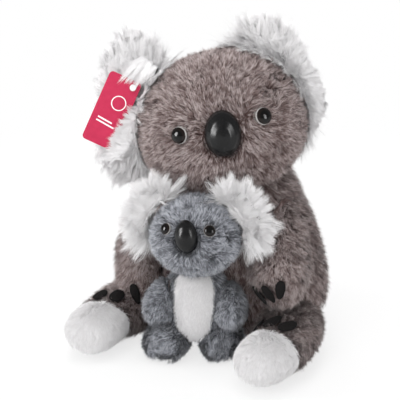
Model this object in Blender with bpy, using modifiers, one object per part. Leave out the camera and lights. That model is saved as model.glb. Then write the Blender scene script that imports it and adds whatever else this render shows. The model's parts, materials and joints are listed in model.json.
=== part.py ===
"""Seated plush koala with her baby: stuffed forms, plastic eyes and noses, felt claws and a hang tag.

Metres, +Z up. The mother faces -Y and sits on the plane z = 0. Left and right are the toy's own.
"""
import math

import bmesh
import bpy
from mathutils import Matrix, Vector

# Shared clearances, wall sizes and cut overruns
SEAM_GAP = 0.0003
SWING_GAP = 0.0006
BABY_ARM_CLEARANCE = 0.0014
BABY_HEAD_CLEARANCE = 0.0048
FLAT_CUT = 0.0005
CUT_OVERRUN = 0.3

# Mother's torso: a seated pear on her own vertical axis
TORSO_HALF_WIDTH = 0.079
TORSO_HALF_DEPTH = 0.062
TORSO_HEIGHT = 0.158
TORSO_BACK = 0.018
TORSO_SIDES = 14
NECK_SIDES = 42
# Each ring: height share, width share, depth share, back share; None makes the ring round
TORSO_RING_SHARES = (
    (-0.01, 0.62, 0.60, 1.0),
    (0.05, 0.90, 0.90, 1.0),
    (0.22, 1.04, 1.04, 0.9),
    (0.44, 0.98, 1.00, 0.6),
    (0.64, 0.88, 0.92, 0.2),
    (0.75, 0.75, None, 0.0),
    (0.82, 0.70, None, 0.0),
    (0.89, 0.61, None, 0.0),
    (0.98, 0.40, None, 0.0),
)

# Mother's head, in the head's own frame: its pivot is the neck
NECK_HEIGHT_SHARE = 0.8608
NECK_BACK = 0.006
HEAD_TURN = math.radians(26)
HEAD_TILT = math.radians(-13)
HEAD_HALF_WIDTH = 0.0655
HEAD_HALF_DEPTH = 0.054
HEAD_HALF_HEIGHT = 0.0565
HEAD_CENTRE = Vector((0.004, -0.010, 0.041))
HEAD_SIDES = 14
# Each ring: height share, width share, depth share, forward share, muzzle share
HEAD_RING_SHARES = (
    (-1.00, 0.34, 0.34, 0.10, 0.00),
    (-0.80, 0.70, 0.66, 0.10, 0.30),
    (-0.42, 0.98, 0.93, 0.08, 0.90),
    (0.00, 1.04, 1.02, 0.03, 1.00),
    (0.42, 0.98, 0.98, 0.00, 0.45),
    (0.80, 0.72, 0.72, 0.00, 0.00),
    (1.00, 0.36, 0.36, 0.00, 0.00),
)
MUZZLE_OUT = 0.007

# Mother's ears: thick pads that leave the head sideways and a little upwards
EAR_REACH = 0.0255
LEFT_EAR_HALF_LENGTH = 0.048
RIGHT_EAR_HALF_LENGTH = 0.055
RIGHT_EAR_LIFT = 0.004
EAR_HALF_THICKNESS = 0.015
EAR_RISE = math.radians(17)
EAR_BACK = 0.016
LEFT_EAR_ROOT_SHARE = 0.66
RIGHT_EAR_ROOT_SHARE = 0.84
EAR_SIDES = 10
# Each ring: reach share from the root outwards, length share, thickness share
EAR_RING_SHARES = (
    (-0.75, 0.40, 0.60),
    (-0.20, 0.78, 0.90),
    (0.35, 1.04, 1.04),
    (0.85, 1.00, 1.02),
    (1.35, 0.80, 0.86),
    (1.62, 0.46, 0.50),
)

# Mother's arms: from inside the shoulder down to a paw beside the baby
ARM_HALF_WIDTH = 0.0260
ARM_HALF_THICKNESS = 0.0225
# How far the arm's width turns outwards from straight ahead, as a share
ARM_FLARE = 0.5
SHOULDER_HEIGHT_SHARE = 0.80
LEFT_SHOULDER_OUT_SHARE = 0.45
LEFT_ELBOW_OUT_SHARE = 0.72
LEFT_ELBOW_HEIGHT_SHARE = 0.58
LEFT_PAW_OUT_SHARE = 0.85
LEFT_PAW_HEIGHT_SHARE = 0.35
LEFT_ELBOW_FORWARD = 0.012
LEFT_PAW_FORWARD = 0.050
RIGHT_SHOULDER_OUT_SHARE = 0.47
RIGHT_ELBOW_OUT_SHARE = 0.92
RIGHT_ELBOW_HEIGHT_SHARE = 0.60
RIGHT_PAW_OUT_SHARE = 0.66
RIGHT_PAW_HEIGHT_SHARE = 0.21
RIGHT_ELBOW_FORWARD = 0.008
RIGHT_PAW_FORWARD = 0.040
ARM_SIDES = 8
# Each ring: share along the arm, thickness share
ARM_RING_SHARES = (
    (0.00, 0.60),
    (0.18, 0.86),
    (0.42, 1.00),
    (0.66, 1.06),
    (0.88, 1.00),
    (1.02, 0.62),
)

# Mother's legs: from inside the seat forwards and outwards to a white sole
LEG_HALF_WIDTH = 0.0245
LEG_HALF_HEIGHT = 0.0208
HIP_OUT_SHARE = 0.52
KNEE_OUT_SHARE = 1.12
FOOT_OUT_SHARE = 0.88
HIP_FORWARD = -0.024
KNEE_FORWARD = 0.030
FOOT_FORWARD = 0.109
LEG_SIDES = 8
LEG_RING_SHARES = (
    (0.00, 0.90),
    (0.24, 1.14),
    (0.50, 1.08),
    (0.72, 0.90),
    (0.90, 1.00),
    (1.02, 0.66),
)
# The sole is the leg's end beyond a seam this share along the leg, tipped back at its top
SOLE_SEAM_SHARE = 0.75
SOLE_TIP = math.radians(14)

# Felt claws, lying in shallow pockets
FOOT_CLAW_LENGTH = 0.021
FOOT_CLAW_WIDTH = 0.0128
PAW_CLAW_LENGTH = 0.0185
PAW_CLAW_WIDTH = 0.0084
CLAW_THICKNESS = 0.0034
CLAW_SINK = 0.0016
CLAW_FIT = 0.0004
CLAW_COUNT = 3
CLAW_SIDES = 4
# Each ring of a claw: share along it, width share
CLAW_RING_SHARES = ((0.0, 0.60), (0.3, 1.10), (0.7, 0.86), (0.97, 0.34))
PAW_CLAW_SPREAD = 0.0105
LEFT_PAW_CLAW_FLARE = -0.2
RIGHT_PAW_CLAW_FLARE = -0.72
PAW_CLAW_ALONG_SHARE = 0.86
# How far the claws sit round the paw's tip from its top, as a share
PAW_CLAW_DIP = 1.6
FOOT_CLAW_SPREAD = 0.0140
FOOT_CLAW_BEHIND_SEAM = 0.0092
LEFT_FOOT_CLAW_INSET = 0.010
RIGHT_FOOT_CLAW_INSET = -0.004

# Safety noses: egg-shaped dome, shank and lock washer
NOSE_WIDTH = 0.028
NOSE_HEIGHT = 0.036
NOSE_RISE = 0.0135
NOSE_ABOVE_CENTRE = 0.0055
NOSE_ROLL = math.radians(8)
NOSE_SHANK_RADIUS = 0.0030
NOSE_SHANK_LENGTH = 0.0150
NOSE_WASHER_RADIUS = 0.0110
NOSE_EGG_SHARE = -0.05

# Safety eyes: domed disc, shank and lock washer
EYE_RADIUS = 0.0070
EYE_RISE = 0.0048
EYE_OUT = 0.0325
EYE_ABOVE_CENTRE = 0.010
EYE_SHANK_RADIUS = 0.0020
EYE_SHANK_LENGTH = 0.0120
EYE_WASHER_RADIUS = 0.0065

# Shared by every nose and eye
SEAT_SINK = 0.0012
NOSE_SINK = 0.0024
SEAT_MOUTH = 0.0300
MERGE_DISTANCE = 0.00005
SHANK_FIT = 0.0004
WASHER_THICKNESS = 0.0020
WASHER_CLOTH = 0.0030
WASHER_HUB_WALL = 0.0016
WASHER_HUB_RISE = 0.0016
ROUND_STEPS = 24
INNER_STEPS = 16
DOME_BANDS = 4

# Hang tag: rounded card held by a plastic pin through its top corner
TAG_LENGTH = 0.058
TAG_WIDTH = 0.027
TAG_THICKNESS = 0.0008
TAG_CORNER = 0.0030
TAG_CORNER_STEPS = 4
TAG_HOLE_STEPS = 12
TAG_HOLE_RADIUS = 0.0014
TAG_HOLE_INSET = 0.0055
TAG_LEAN = math.radians(24)
TAG_PIN_RADIUS = 0.0007
TAG_PIN_HEAD_RADIUS = 0.0026
TAG_PIN_HEAD_THICKNESS = 0.0008
TAG_PIN_SINK = 0.0060
TAG_PIN_OUT_SHARE = 0.60
TAG_PIN_UP_SHARE = 0.36

# Baby: sits between the mother's legs, turned towards the camera side
BABY_PLACE = Vector((0.000, -0.051, 0.0))
BABY_TURN = math.radians(16)
BABY_HALF_WIDTH = 0.0270
BABY_HALF_DEPTH = 0.0235
BABY_HEIGHT = 0.083
BABY_SIDES = 10
# The baby's seat rides a little above the floor, over the mother's tummy; its feet reach the floor
BABY_RING_SHARES = (
    (0.17, 0.56, 0.56),
    (0.24, 0.86, 0.86),
    (0.42, 1.04, 1.06),
    (0.60, 0.95, 0.96),
    (0.84, 0.76, None),
    (0.99, 0.44, None),
)
BABY_NECK_SIDES = 30
BABY_NECK_HEIGHT_SHARE = 0.8916
BABY_HEAD_HALF_WIDTH = 0.0345
BABY_HEAD_HALF_DEPTH = 0.0290
BABY_HEAD_HALF_HEIGHT = 0.0290
BABY_HEAD_CENTRE = Vector((0.0045, -0.014, 0.0285))
BABY_HEAD_TILT = math.radians(-2)
BABY_HEAD_TURN = math.radians(-7)
BABY_MUZZLE_OUT = 0.0035
BABY_HEAD_SIDES = 10

BABY_EAR_REACH = 0.0195
BABY_EAR_HALF_LENGTH = 0.0280
BABY_EAR_HALF_THICKNESS = 0.0080
BABY_EAR_RISE = math.radians(24)
BABY_EAR_BACK = -0.002
BABY_EAR_SIDES = 8
BABY_EAR_ROOT_SHARE = 0.80

BABY_ARM_HALF_WIDTH = 0.0140
BABY_ARM_HALF_THICKNESS = 0.0125
BABY_SHOULDER_OUT_SHARE = 0.62
BABY_SHOULDER_HEIGHT_SHARE = 0.70
BABY_ELBOW_OUT_SHARE = 1.12
BABY_ELBOW_HEIGHT_SHARE = 0.60
BABY_PAW_OUT_SHARE = 1.00
BABY_PAW_HEIGHT_SHARE = 0.40
BABY_ELBOW_FORWARD = 0.006
BABY_PAW_FORWARD = 0.022
BABY_ARM_SIDES = 6

BABY_LEG_HALF_WIDTH = 0.0175
BABY_LEG_HALF_HEIGHT = 0.0155
BABY_HIP_OUT_SHARE = 0.45
BABY_KNEE_OUT_SHARE = 0.75
BABY_FOOT_OUT_SHARE = 0.98
BABY_HIP_FORWARD = -0.004
BABY_KNEE_FORWARD = 0.012
BABY_LEFT_FOOT_FORWARD = 0.020
BABY_RIGHT_FOOT_FORWARD = 0.030
BABY_HIP_HEIGHT = 0.0270
BABY_LEG_SIDES = 8
BABY_LEG_RING_SHARES = (
    (0.00, 0.80),
    (0.30, 1.00),
    (0.62, 0.98),
    (0.86, 1.04),
    (1.02, 0.66),
)

BIB_HALF_WIDTH = 0.0150
BIB_THICKNESS = 0.0012
# Half of the bib's outline, bottom to top: width share, height share of the body
BIB_OUTLINE_SHARES = (
    (0.34, 0.21),
    (0.62, 0.26),
    (0.88, 0.38),
    (1.00, 0.54),
    (1.00, 0.70),
    (0.92, 0.80),
    (0.78, 0.85),
)

BABY_NOSE_WIDTH = 0.0180
BABY_NOSE_HEIGHT = 0.0260
BABY_NOSE_RISE = 0.0090
BABY_NOSE_ABOVE_CENTRE = 0.0070
BABY_NOSE_SHANK_RADIUS = 0.0022
BABY_NOSE_SHANK_LENGTH = 0.0100
BABY_NOSE_WASHER_RADIUS = 0.0070
BABY_EYE_RADIUS = 0.0048
BABY_EYE_RISE = 0.0036
BABY_EYE_OUT = 0.0172
BABY_EYE_ABOVE_CENTRE = 0.0110
BABY_EYE_SHANK_RADIUS = 0.0016
BABY_EYE_SHANK_LENGTH = 0.0085
BABY_EYE_WASHER_RADIUS = 0.0044

# Stops of each sewn joint's flex in degrees from rest: its ends, and any stop between that its cuts need
HEAD_STOPS = (-12, 12)
EAR_STOPS = (-8, 8)
ARM_STOPS = (0, 9, 18)
LEG_STOPS = (0, 4, 8)
BABY_ARM_STOPS = (0, 12)

# Finishes: colour, roughness, metallic
TAUPE_PLUSH = ((0.26, 0.20, 0.18), 0.95, 0.0)
GREY_PLUSH = ((0.30, 0.33, 0.37), 0.95, 0.0)
WHITE_PLUSH = ((0.86, 0.85, 0.85), 0.95, 0.0)
BLACK_FELT = ((0.015, 0.014, 0.014), 0.85, 0.0)
BLACK_PLASTIC = ((0.010, 0.010, 0.011), 0.22, 0.0)
EYE_PLASTIC = ((0.020, 0.012, 0.009), 0.08, 0.0)
WASHER_PLASTIC = ((0.75, 0.75, 0.72), 0.45, 0.0)
RED_CARD = ((0.62, 0.025, 0.085), 0.38, 0.0)
CLEAR_PLASTIC = ((0.80, 0.80, 0.80), 0.30, 0.0)

UP = Vector((0, 0, 1))
FRONT = Vector((0, -1, 0))
# A positive turn about this axis lifts a hanging arm forwards
RAISE_AXIS = Vector((-1, 0, 0))


def clear_scene():
    for old in list(bpy.data.objects):
        bpy.data.objects.remove(old, do_unlink=True)


def new_collection(name):
    made = bpy.data.collections.new(name)
    bpy.context.scene.collection.children.link(made)
    return made


clear_scene()
TOY = new_collection("plush_koala")
CUTTERS = new_collection("cutters")


def finish(name, look):
    """A Principled material with the look's colour, roughness and metallic value."""
    found = bpy.data.materials.get(name)
    if found:
        return found
    made = bpy.data.materials.new(name)
    made.use_nodes = True
    shader = made.node_tree.nodes["Principled BSDF"]
    shader.inputs["Base Color"].default_value = (*look[0], 1.0)
    shader.inputs["Roughness"].default_value = look[1]
    shader.inputs["Metallic"].default_value = look[2]
    return made


def add_object(name, mesh, look=None, parent=None, smooth=True):
    """A named piece in the toy, or a cutter when it has no look."""
    made = bpy.data.objects.new(name, mesh)
    (TOY if look else CUTTERS).objects.link(made)
    if look:
        mesh.materials.append(finish(name + "_finish", look))
    else:
        made.hide_render = True
        made.display_type = "WIRE"
    if smooth:
        mesh.shade_smooth()
    if parent:
        made.parent = parent
    return made


def add_pivot(name, place, turn=None, parent=None):
    """An empty on a joint's axis, which carries what moves with it."""
    made = bpy.data.objects.new(name, None)
    TOY.objects.link(made)
    made.location = place
    if turn:
        made.rotation_euler = turn
    if parent:
        made.parent = parent
    bpy.context.view_layer.update()
    return made


def mesh_from(bm, name):
    bmesh.ops.recalc_face_normals(bm, faces=bm.faces)
    mesh = bpy.data.meshes.new(name)
    bm.to_mesh(mesh)
    bm.free()
    return mesh


def cage_swell(sides):
    """How much larger a cage ring is than the ring that one subdivision makes of it."""
    return 1 / math.cos(math.pi / sides)


def cage_mesh(name, rings, sides):
    """A closed cage through rings of (centre, half width vector, half depth vector)."""
    bm = bmesh.new()
    swell = cage_swell(sides)
    loops = []
    for centre, across, deep in rings:
        loop = []
        for step in range(sides):
            angle = 2 * math.pi * step / sides
            offset = across * math.cos(angle) + deep * math.sin(angle)
            loop.append(bm.verts.new(centre + offset * swell))
        loops.append(loop)
    for low, high in zip(loops, loops[1:]):
        for step in range(sides):
            after = (step + 1) % sides
            bm.faces.new((low[step], low[after], high[after], high[step]))
    for loop in (loops[0], loops[-1]):
        middle = bm.verts.new(sum((v.co for v in loop), Vector()) / sides)
        for step in range(sides):
            bm.faces.new((loop[step], loop[(step + 1) % sides], middle))
    return mesh_from(bm, name)


def subdivide(piece):
    smooth = piece.modifiers.new("stuffed", "SUBSURF")
    smooth.levels = 1
    smooth.render_levels = 1
    return piece


def soft_form(name, rings, sides, look, parent=None):
    """A stuffed form: a coarse cage with Subdivision Surface."""
    piece = add_object(name, cage_mesh(name, rings, sides), look, parent)
    return subdivide(piece)


def bend_point(start, bend, end, share):
    """A point on the smooth curve that leaves start, turns at bend and reaches end."""
    rest = 1 - share
    return start * rest * rest + bend * (2 * rest * share) + end * share * share


def limb_rings(start, bend, end, half_width, half_height, shares, flat_axis):
    """Rings square to a limb's curve; flat_axis is the way its width lies."""
    rings = []
    for along, thick in shares:
        centre = bend_point(start, bend, end, along)
        heading = ((bend - start) * (1 - along) + (end - bend) * along).normalized()
        across = (flat_axis - heading * flat_axis.dot(heading)).normalized()
        deep = heading.cross(across)
        rings.append((centre, across * half_width * thick, deep * half_height * thick))
    return rings


def grow(piece, gap):
    """Moves a cutter's surface out by a gap all round."""
    swell = piece.modifiers.new("gap", "DISPLACE")
    swell.strength = gap
    swell.mid_level = 0.0


def grown_copy(piece, name, gap):
    """A cutter: the piece's own soft form, larger by a gap all round."""
    copy = add_object(name, piece.data.copy(), None, None)
    bpy.context.view_layer.update()
    copy.matrix_world = piece.matrix_world.copy()
    subdivide(copy)
    grow(copy, gap)
    return copy


def cut(piece, cutter, operation="DIFFERENCE"):
    made = piece.modifiers.new("cut_by_" + cutter.name, "BOOLEAN")
    made.operation = operation
    made.solver = "EXACT"
    made.object = cutter


def turned_about(cutter, pivot, axis, degrees):
    turn = Matrix.Rotation(math.radians(degrees), 4, axis)
    shift = Matrix.Translation(pivot)
    cutter.matrix_world = shift @ turn @ shift.inverted() @ cutter.matrix_world


def cut_for_swing(piece, carrier, pivot, axis, stops, child_moves=True):
    """Cuts the piece by its larger neighbour at each stop of the joint between them."""
    for degrees in stops:
        cutter = grown_copy(carrier, f"{carrier.name}_for_{piece.name}", SWING_GAP)
        turned_about(cutter, pivot, axis, -degrees if child_moves else degrees)
        cut(piece, cutter)


def cut_by_form(piece, carrier, gap=SEAM_GAP):
    cut(piece, grown_copy(carrier, f"{carrier.name}_for_{piece.name}", gap))


def world_box(piece):
    """Lowest and highest corner of the evaluated piece."""
    bpy.context.view_layer.update()
    shown = piece.evaluated_get(bpy.context.evaluated_depsgraph_get())
    mesh = shown.to_mesh()
    points = [shown.matrix_world @ v.co for v in mesh.vertices]
    shown.to_mesh_clear()
    low = Vector([min(p[k] for p in points) for k in range(3)])
    high = Vector([max(p[k] for p in points) for k in range(3)])
    return low, high


def sit_on_floor(piece):
    """Lowers or lifts a form until it dips below the floor by the depth of its flat."""
    low, _ = world_box(piece)
    piece.data.transform(Matrix.Translation(Vector((0, 0, -FLAT_CUT - low.z))))


def floor_cutter():
    bm = bmesh.new()
    bmesh.ops.create_cube(bm, size=1)
    bmesh.ops.scale(bm, vec=Vector((CUT_OVERRUN, CUT_OVERRUN, CUT_OVERRUN)) * 2, verts=bm.verts)
    bmesh.ops.translate(bm, vec=Vector((0, 0, -CUT_OVERRUN)), verts=bm.verts)
    return add_object("floor_cutter", mesh_from(bm, "floor_cutter"), smooth=False)


def surface_hit(piece, start, heading):
    """Where a line from start first meets the piece's soft form, in world space, and the way out of it."""
    bpy.context.view_layer.update()
    shown = piece.evaluated_get(bpy.context.evaluated_depsgraph_get())
    back = shown.matrix_world.inverted()
    hit, place, normal, _ = shown.ray_cast(back @ start, back.to_3x3() @ heading)
    if not hit:
        raise ValueError(f"no surface of {piece.name} on that line")
    out = (shown.matrix_world.to_3x3() @ normal).normalized()
    return shown.matrix_world @ place, out


def turned_piece(name, profile, look=None, ring=False):
    """A turned shape on its own Z axis from (radius, height) points, top to bottom on the outer side."""
    mesh = bpy.data.meshes.new(name)
    points = [(radius, 0, height) for radius, height in profile]
    edges = [(k, k + 1) for k in range(len(points) - 1)]
    if ring:
        edges.append((len(points) - 1, 0))
    mesh.from_pydata(points, edges, [])
    made = add_object(name, mesh, look)
    screw = made.modifiers.new("turn", "SCREW")
    screw.steps = INNER_STEPS
    screw.render_steps = INNER_STEPS
    screw.use_merge_vertices = True
    screw.merge_threshold = MERGE_DISTANCE
    return made


def dome_profile(radius, rise, points):
    """Quarter ellipse from the crown to the rim, as (radius, height)."""
    arc = []
    for step in range(points + 1):
        angle = math.pi / 2 * step / points
        arc.append((radius * math.sin(angle), rise * math.cos(angle)))
    return arc


def socket_profile(shank_radius, shank_length, washer_radius, seat_radius=None):
    """The bore, washer pocket and, for a round piece, seat that a shank needs in the head."""
    bore = shank_radius + SHANK_FIT
    hub_top = -WASHER_CLOTH
    pocket = washer_radius + SHANK_FIT
    pocket_top = hub_top + SHANK_FIT
    pocket_foot = -shank_length - SHANK_FIT
    mouth = SEAT_SINK + SEAT_MOUTH
    outer = []
    if seat_radius:
        outer += [(0, mouth), (seat_radius + SEAM_GAP, mouth), (seat_radius + SEAM_GAP, 0), (bore, 0)]
    else:
        outer += [(0, mouth), (bore, mouth)]
    outer += [(bore, pocket_top), (pocket, pocket_top), (pocket, pocket_foot), (0, pocket_foot)]
    return outer


def washer_profile(shank_radius, shank_length, washer_radius):
    """Lock washer: a flange behind the cloth with a hub that grips the shank."""
    bore = shank_radius + SHANK_FIT / 2
    top = -WASHER_CLOTH
    hub = bore + WASHER_HUB_WALL
    foot = top - WASHER_THICKNESS
    end = foot - WASHER_HUB_RISE
    return [
        (bore, top), (washer_radius, top), (washer_radius, foot),
        (hub, foot), (hub, end), (bore, end),
    ]


def aim(piece, place, out, upright):
    """Sets a piece with its Z axis along out and its Y axis as near upright as can be."""
    side = upright.cross(out).normalized()
    level = out.cross(side)
    basis = Matrix((side, level, out)).transposed().to_4x4()
    piece.matrix_world = Matrix.Translation(place) @ basis


def carried(piece, carrier):
    """Parents the piece and keeps it where it is."""
    bpy.context.view_layer.update()
    place = piece.matrix_world.copy()
    piece.parent = carrier
    piece.matrix_parent_inverse = carrier.matrix_world.inverted()
    piece.matrix_world = place


def add_eye(prefix, head, pivot, side, centre, sizes):
    """One safety eye with its washer, seated square to the head where a line from the front meets it."""
    out_by, above, radius, rise, shank_radius, shank_length, washer_radius = sizes
    turn = pivot.matrix_world.to_3x3()
    aim_at = pivot.matrix_world @ (centre + Vector((side * out_by, 0, above)))
    start = aim_at + (turn @ FRONT) * CUT_OVERRUN
    place, normal = surface_hit(head, start, turn @ -FRONT)
    place = place - normal * SEAT_SINK
    upright = turn @ UP
    profile = dome_profile(radius, rise, DOME_BANDS)
    profile += [(shank_radius, 0), (shank_radius, -shank_length), (0, -shank_length)]
    eye = turned_piece(prefix + "_eye", profile, EYE_PLASTIC)
    washer = turned_piece(prefix + "_eye_washer", washer_profile(shank_radius, shank_length, washer_radius),
                          WASHER_PLASTIC, ring=True)
    socket = turned_piece(prefix + "_eye_socket",
                          socket_profile(shank_radius, shank_length, washer_radius, radius))
    for piece in (eye, washer, socket):
        aim(piece, place + (normal * SEAM_GAP if piece is eye else Vector()), normal, upright)
        carried(piece, pivot)
    cut(head, socket)


def egg_outline(width, height, count):
    """Points of an egg that is widest a little above its middle."""
    outline = []
    for step in range(count):
        angle = 2 * math.pi * step / count
        up = math.sin(angle)
        across = math.cos(angle) * (1 + NOSE_EGG_SHARE * up)
        outline.append(Vector((width / 2 * across, height / 2 * up, 0)))
    return outline


def egg_dome_mesh(name, width, height, rise, grow, foot):
    """A dome over an egg outline, closed by a flat back at foot."""
    bm = bmesh.new()
    outline = egg_outline(width + 2 * grow, height + 2 * grow, ROUND_STEPS)
    loops = [[bm.verts.new(point + UP * foot) for point in outline]]
    for band in range(DOME_BANDS):
        angle = math.pi / 2 * band / DOME_BANDS
        level = [point * math.cos(angle) + UP * (rise * math.sin(angle)) for point in outline]
        loops.append([bm.verts.new(point) for point in level])
    crown = bm.verts.new((0, 0, rise))
    for low, high in zip(loops, loops[1:]):
        for step in range(ROUND_STEPS):
            after = (step + 1) % ROUND_STEPS
            bm.faces.new((low[step], low[after], high[after], high[step]))
    for step in range(ROUND_STEPS):
        bm.faces.new((loops[-1][step], loops[-1][(step + 1) % ROUND_STEPS], crown))
    bm.faces.new(list(reversed(loops[0])))
    return mesh_from(bm, name)


def add_nose(prefix, head, pivot, centre, sizes):
    """Egg-shaped safety nose, one piece with its shank, and its washer."""
    width, height, rise, above, shank_radius, shank_length, washer_radius, roll = sizes
    turn = pivot.matrix_world.to_3x3()
    start = pivot.matrix_world @ (centre + Vector((0, 0, above))) + (turn @ FRONT) * CUT_OVERRUN
    place, _ = surface_hit(head, start, turn @ -FRONT)
    out = turn @ FRONT
    place = place - out * NOSE_SINK
    upright = turn @ (Matrix.Rotation(roll, 3, "Y") @ UP)
    nose = add_object(prefix + "_nose", egg_dome_mesh(prefix + "_nose", width, height, rise, 0, -NOSE_SINK / 2),
                      BLACK_PLASTIC)
    shank_profile = [(0, 0), (shank_radius, 0), (shank_radius, -shank_length), (0, -shank_length)]
    shank = turned_piece(prefix + "_nose_shank_form", shank_profile)
    washer = turned_piece(prefix + "_nose_washer", washer_profile(shank_radius, shank_length, washer_radius),
                          WASHER_PLASTIC, ring=True)
    socket = turned_piece(prefix + "_nose_socket", socket_profile(shank_radius, shank_length, washer_radius))
    seat_mesh = egg_dome_mesh(prefix + "_nose_seat", width, height, rise + NOSE_SINK, SEAM_GAP,
                              -NOSE_SINK / 2 - SEAM_GAP)
    seat = add_object(prefix + "_nose_seat", seat_mesh)
    for piece in (nose, shank, washer, socket, seat):
        aim(piece, place, out, upright)
        carried(piece, pivot)
    cut(nose, shank, "UNION")
    cut(head, seat)
    cut(head, socket)


def head_rings(centre, half_width, half_depth, half_height, muzzle_out):
    """Level rings of a head; the muzzle share moves a ring's front out."""
    rings = []
    for height, width, depth, forward, muzzle in HEAD_RING_SHARES:
        middle = centre + Vector((0, -forward * half_depth - muzzle * muzzle_out / 2, height * half_height))
        across = Vector((width * half_width, 0, 0))
        deep = Vector((0, depth * half_depth + muzzle * muzzle_out / 2, 0))
        rings.append((middle, across, deep))
    return rings


def add_ear(prefix, head, pivot, side, centre, sizes, sides):
    """An ear pad whose root lies inside the head, cut to the head's own curve through its flop."""
    half_width, root_share, reach, half_length, half_thickness, rise, back = sizes
    outward = Vector((side * math.cos(rise), 0, math.sin(rise)))
    along = Vector((-side * math.sin(rise), 0, math.cos(rise)))
    root = centre + outward * half_width * root_share + Vector((0, back, 0))
    rings = []
    for far, length, thick in EAR_RING_SHARES:
        middle = root + outward * far * reach
        rings.append((middle, along * half_length * length, Vector((0, half_thickness * thick, 0))))
    ear = soft_form(prefix + "_ear", rings, sides, WHITE_PLUSH, pivot)
    bpy.context.view_layer.update()
    turn = pivot.matrix_world.to_3x3()
    hinge = pivot.matrix_world @ root
    axis = (turn @ along).normalized()
    cut_for_swing(ear, head, hinge, axis, EAR_STOPS)
    ear_pivot = add_pivot(prefix + "_ear_pivot", root, None, pivot)
    carried(ear, ear_pivot)
    return ear, ear_pivot, hinge, axis


def claw_mesh(name, length, width, grow):
    """A flat tapering claw along +Y, centred on its thickness."""
    rings = []
    for along, wide in CLAW_RING_SHARES:
        middle = Vector((0, along * length, 0))
        across = Vector((width / 2 * wide + grow, 0, 0))
        deep = Vector((0, 0, CLAW_THICKNESS / 2 * wide + grow))
        rings.append((middle, across, deep))
    rings[0] = (rings[0][0] - Vector((0, grow, 0)), rings[0][1], rings[0][2])
    rings[-1] = (rings[-1][0] + Vector((0, grow, 0)), rings[-1][1], rings[-1][2])
    return cage_mesh(name, rings, CLAW_SIDES)


def add_claw(name, limb, pivot, place, out, heading, length, width):
    """A felt claw whose middle lies at place, sunk a little into the plush, pointing along heading."""
    along = (heading - out * heading.dot(out)).normalized()
    root = place + out * (CLAW_THICKNESS / 2 - CLAW_SINK) - along * length / 2
    claw = subdivide(add_object(name, claw_mesh(name, length, width, 0), BLACK_FELT))
    pocket = subdivide(add_object(name + "_pocket", claw_mesh(name + "_pocket", length, width, CLAW_FIT)))
    for piece in (claw, pocket):
        aim(piece, root, out, along)
        carried(piece, pivot)
    cut(limb, pocket)
    return claw


def add_arm(prefix, route, half_width, half_thickness, flat_axis, sides, look, parent=None):
    """An arm from inside the shoulder to the paw; route is its start, bend and end."""
    rings = limb_rings(*route, half_width, half_thickness, ARM_RING_SHARES, flat_axis)
    return soft_form(prefix + "_arm", rings, sides, look, parent)


def torso_rings():
    rings = []
    for height, width, depth, back in TORSO_RING_SHARES:
        middle = Vector((0, NECK_BACK + back * TORSO_BACK, height * TORSO_HEIGHT))
        half_width = width * TORSO_HALF_WIDTH
        half_depth = half_width if depth is None else depth * TORSO_HALF_DEPTH
        rings.append((middle, Vector((half_width, 0, 0)), Vector((0, half_depth, 0))))
    return rings


def baby_rings():
    rings = []
    for height, width, depth in BABY_RING_SHARES:
        half_width = width * BABY_HALF_WIDTH
        half_depth = half_width if depth is None else depth * BABY_HALF_DEPTH
        rings.append((UP * height * BABY_HEIGHT, Vector((half_width, 0, 0)), Vector((0, half_depth, 0))))
    return rings


def baby_point(side, out_share, forward, height):
    return Vector((side * out_share * BABY_HALF_WIDTH, -forward, height))


def rounded_outline(low, high, corner, steps):
    """Points round a rectangle with round corners, anticlockwise."""
    corners = (
        (high.x - corner, high.y - corner, 0),
        (low.x + corner, high.y - corner, 90),
        (low.x + corner, low.y + corner, 180),
        (high.x - corner, low.y + corner, 270),
    )
    outline = []
    for x, y, start in corners:
        for step in range(steps + 1):
            angle = math.radians(start + 90 * step / steps)
            outline.append((x + corner * math.cos(angle), y + corner * math.sin(angle), 0))
    return outline


def circle_outline(radius, steps):
    turns = [2 * math.pi * step / steps for step in range(steps)]
    return [(radius * math.cos(angle), radius * math.sin(angle), 0) for angle in turns]


def flat_curve(name, outlines, half_thickness, look):
    """A flat outline, with any holes, as a filled 2D curve."""
    curve = bpy.data.curves.new(name, "CURVE")
    curve.dimensions = "2D"
    curve.fill_mode = "BOTH"
    curve.extrude = half_thickness
    for outline in outlines:
        spline = curve.splines.new("POLY")
        spline.points.add(len(outline) - 1)
        for point, place in zip(spline.points, outline):
            point.co = (*place, 1)
        spline.use_cyclic_u = True
    piece = bpy.data.objects.new(name, curve)
    TOY.objects.link(piece)
    curve.materials.append(finish(name + "_finish", look))
    return piece

# Mother's torso: its top is round about the neck, so that the head turns on it
FLOOR = floor_cutter()
torso = soft_form("mother_torso", torso_rings(), TORSO_SIDES, TAUPE_PLUSH)
sit_on_floor(torso)
neck_seat = subdivide(add_object("neck_seat", cage_mesh("neck_seat", torso_rings(), NECK_SIDES)))
sit_on_floor(neck_seat)
grow(neck_seat, SWING_GAP)
cut(torso, FLOOR)

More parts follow.
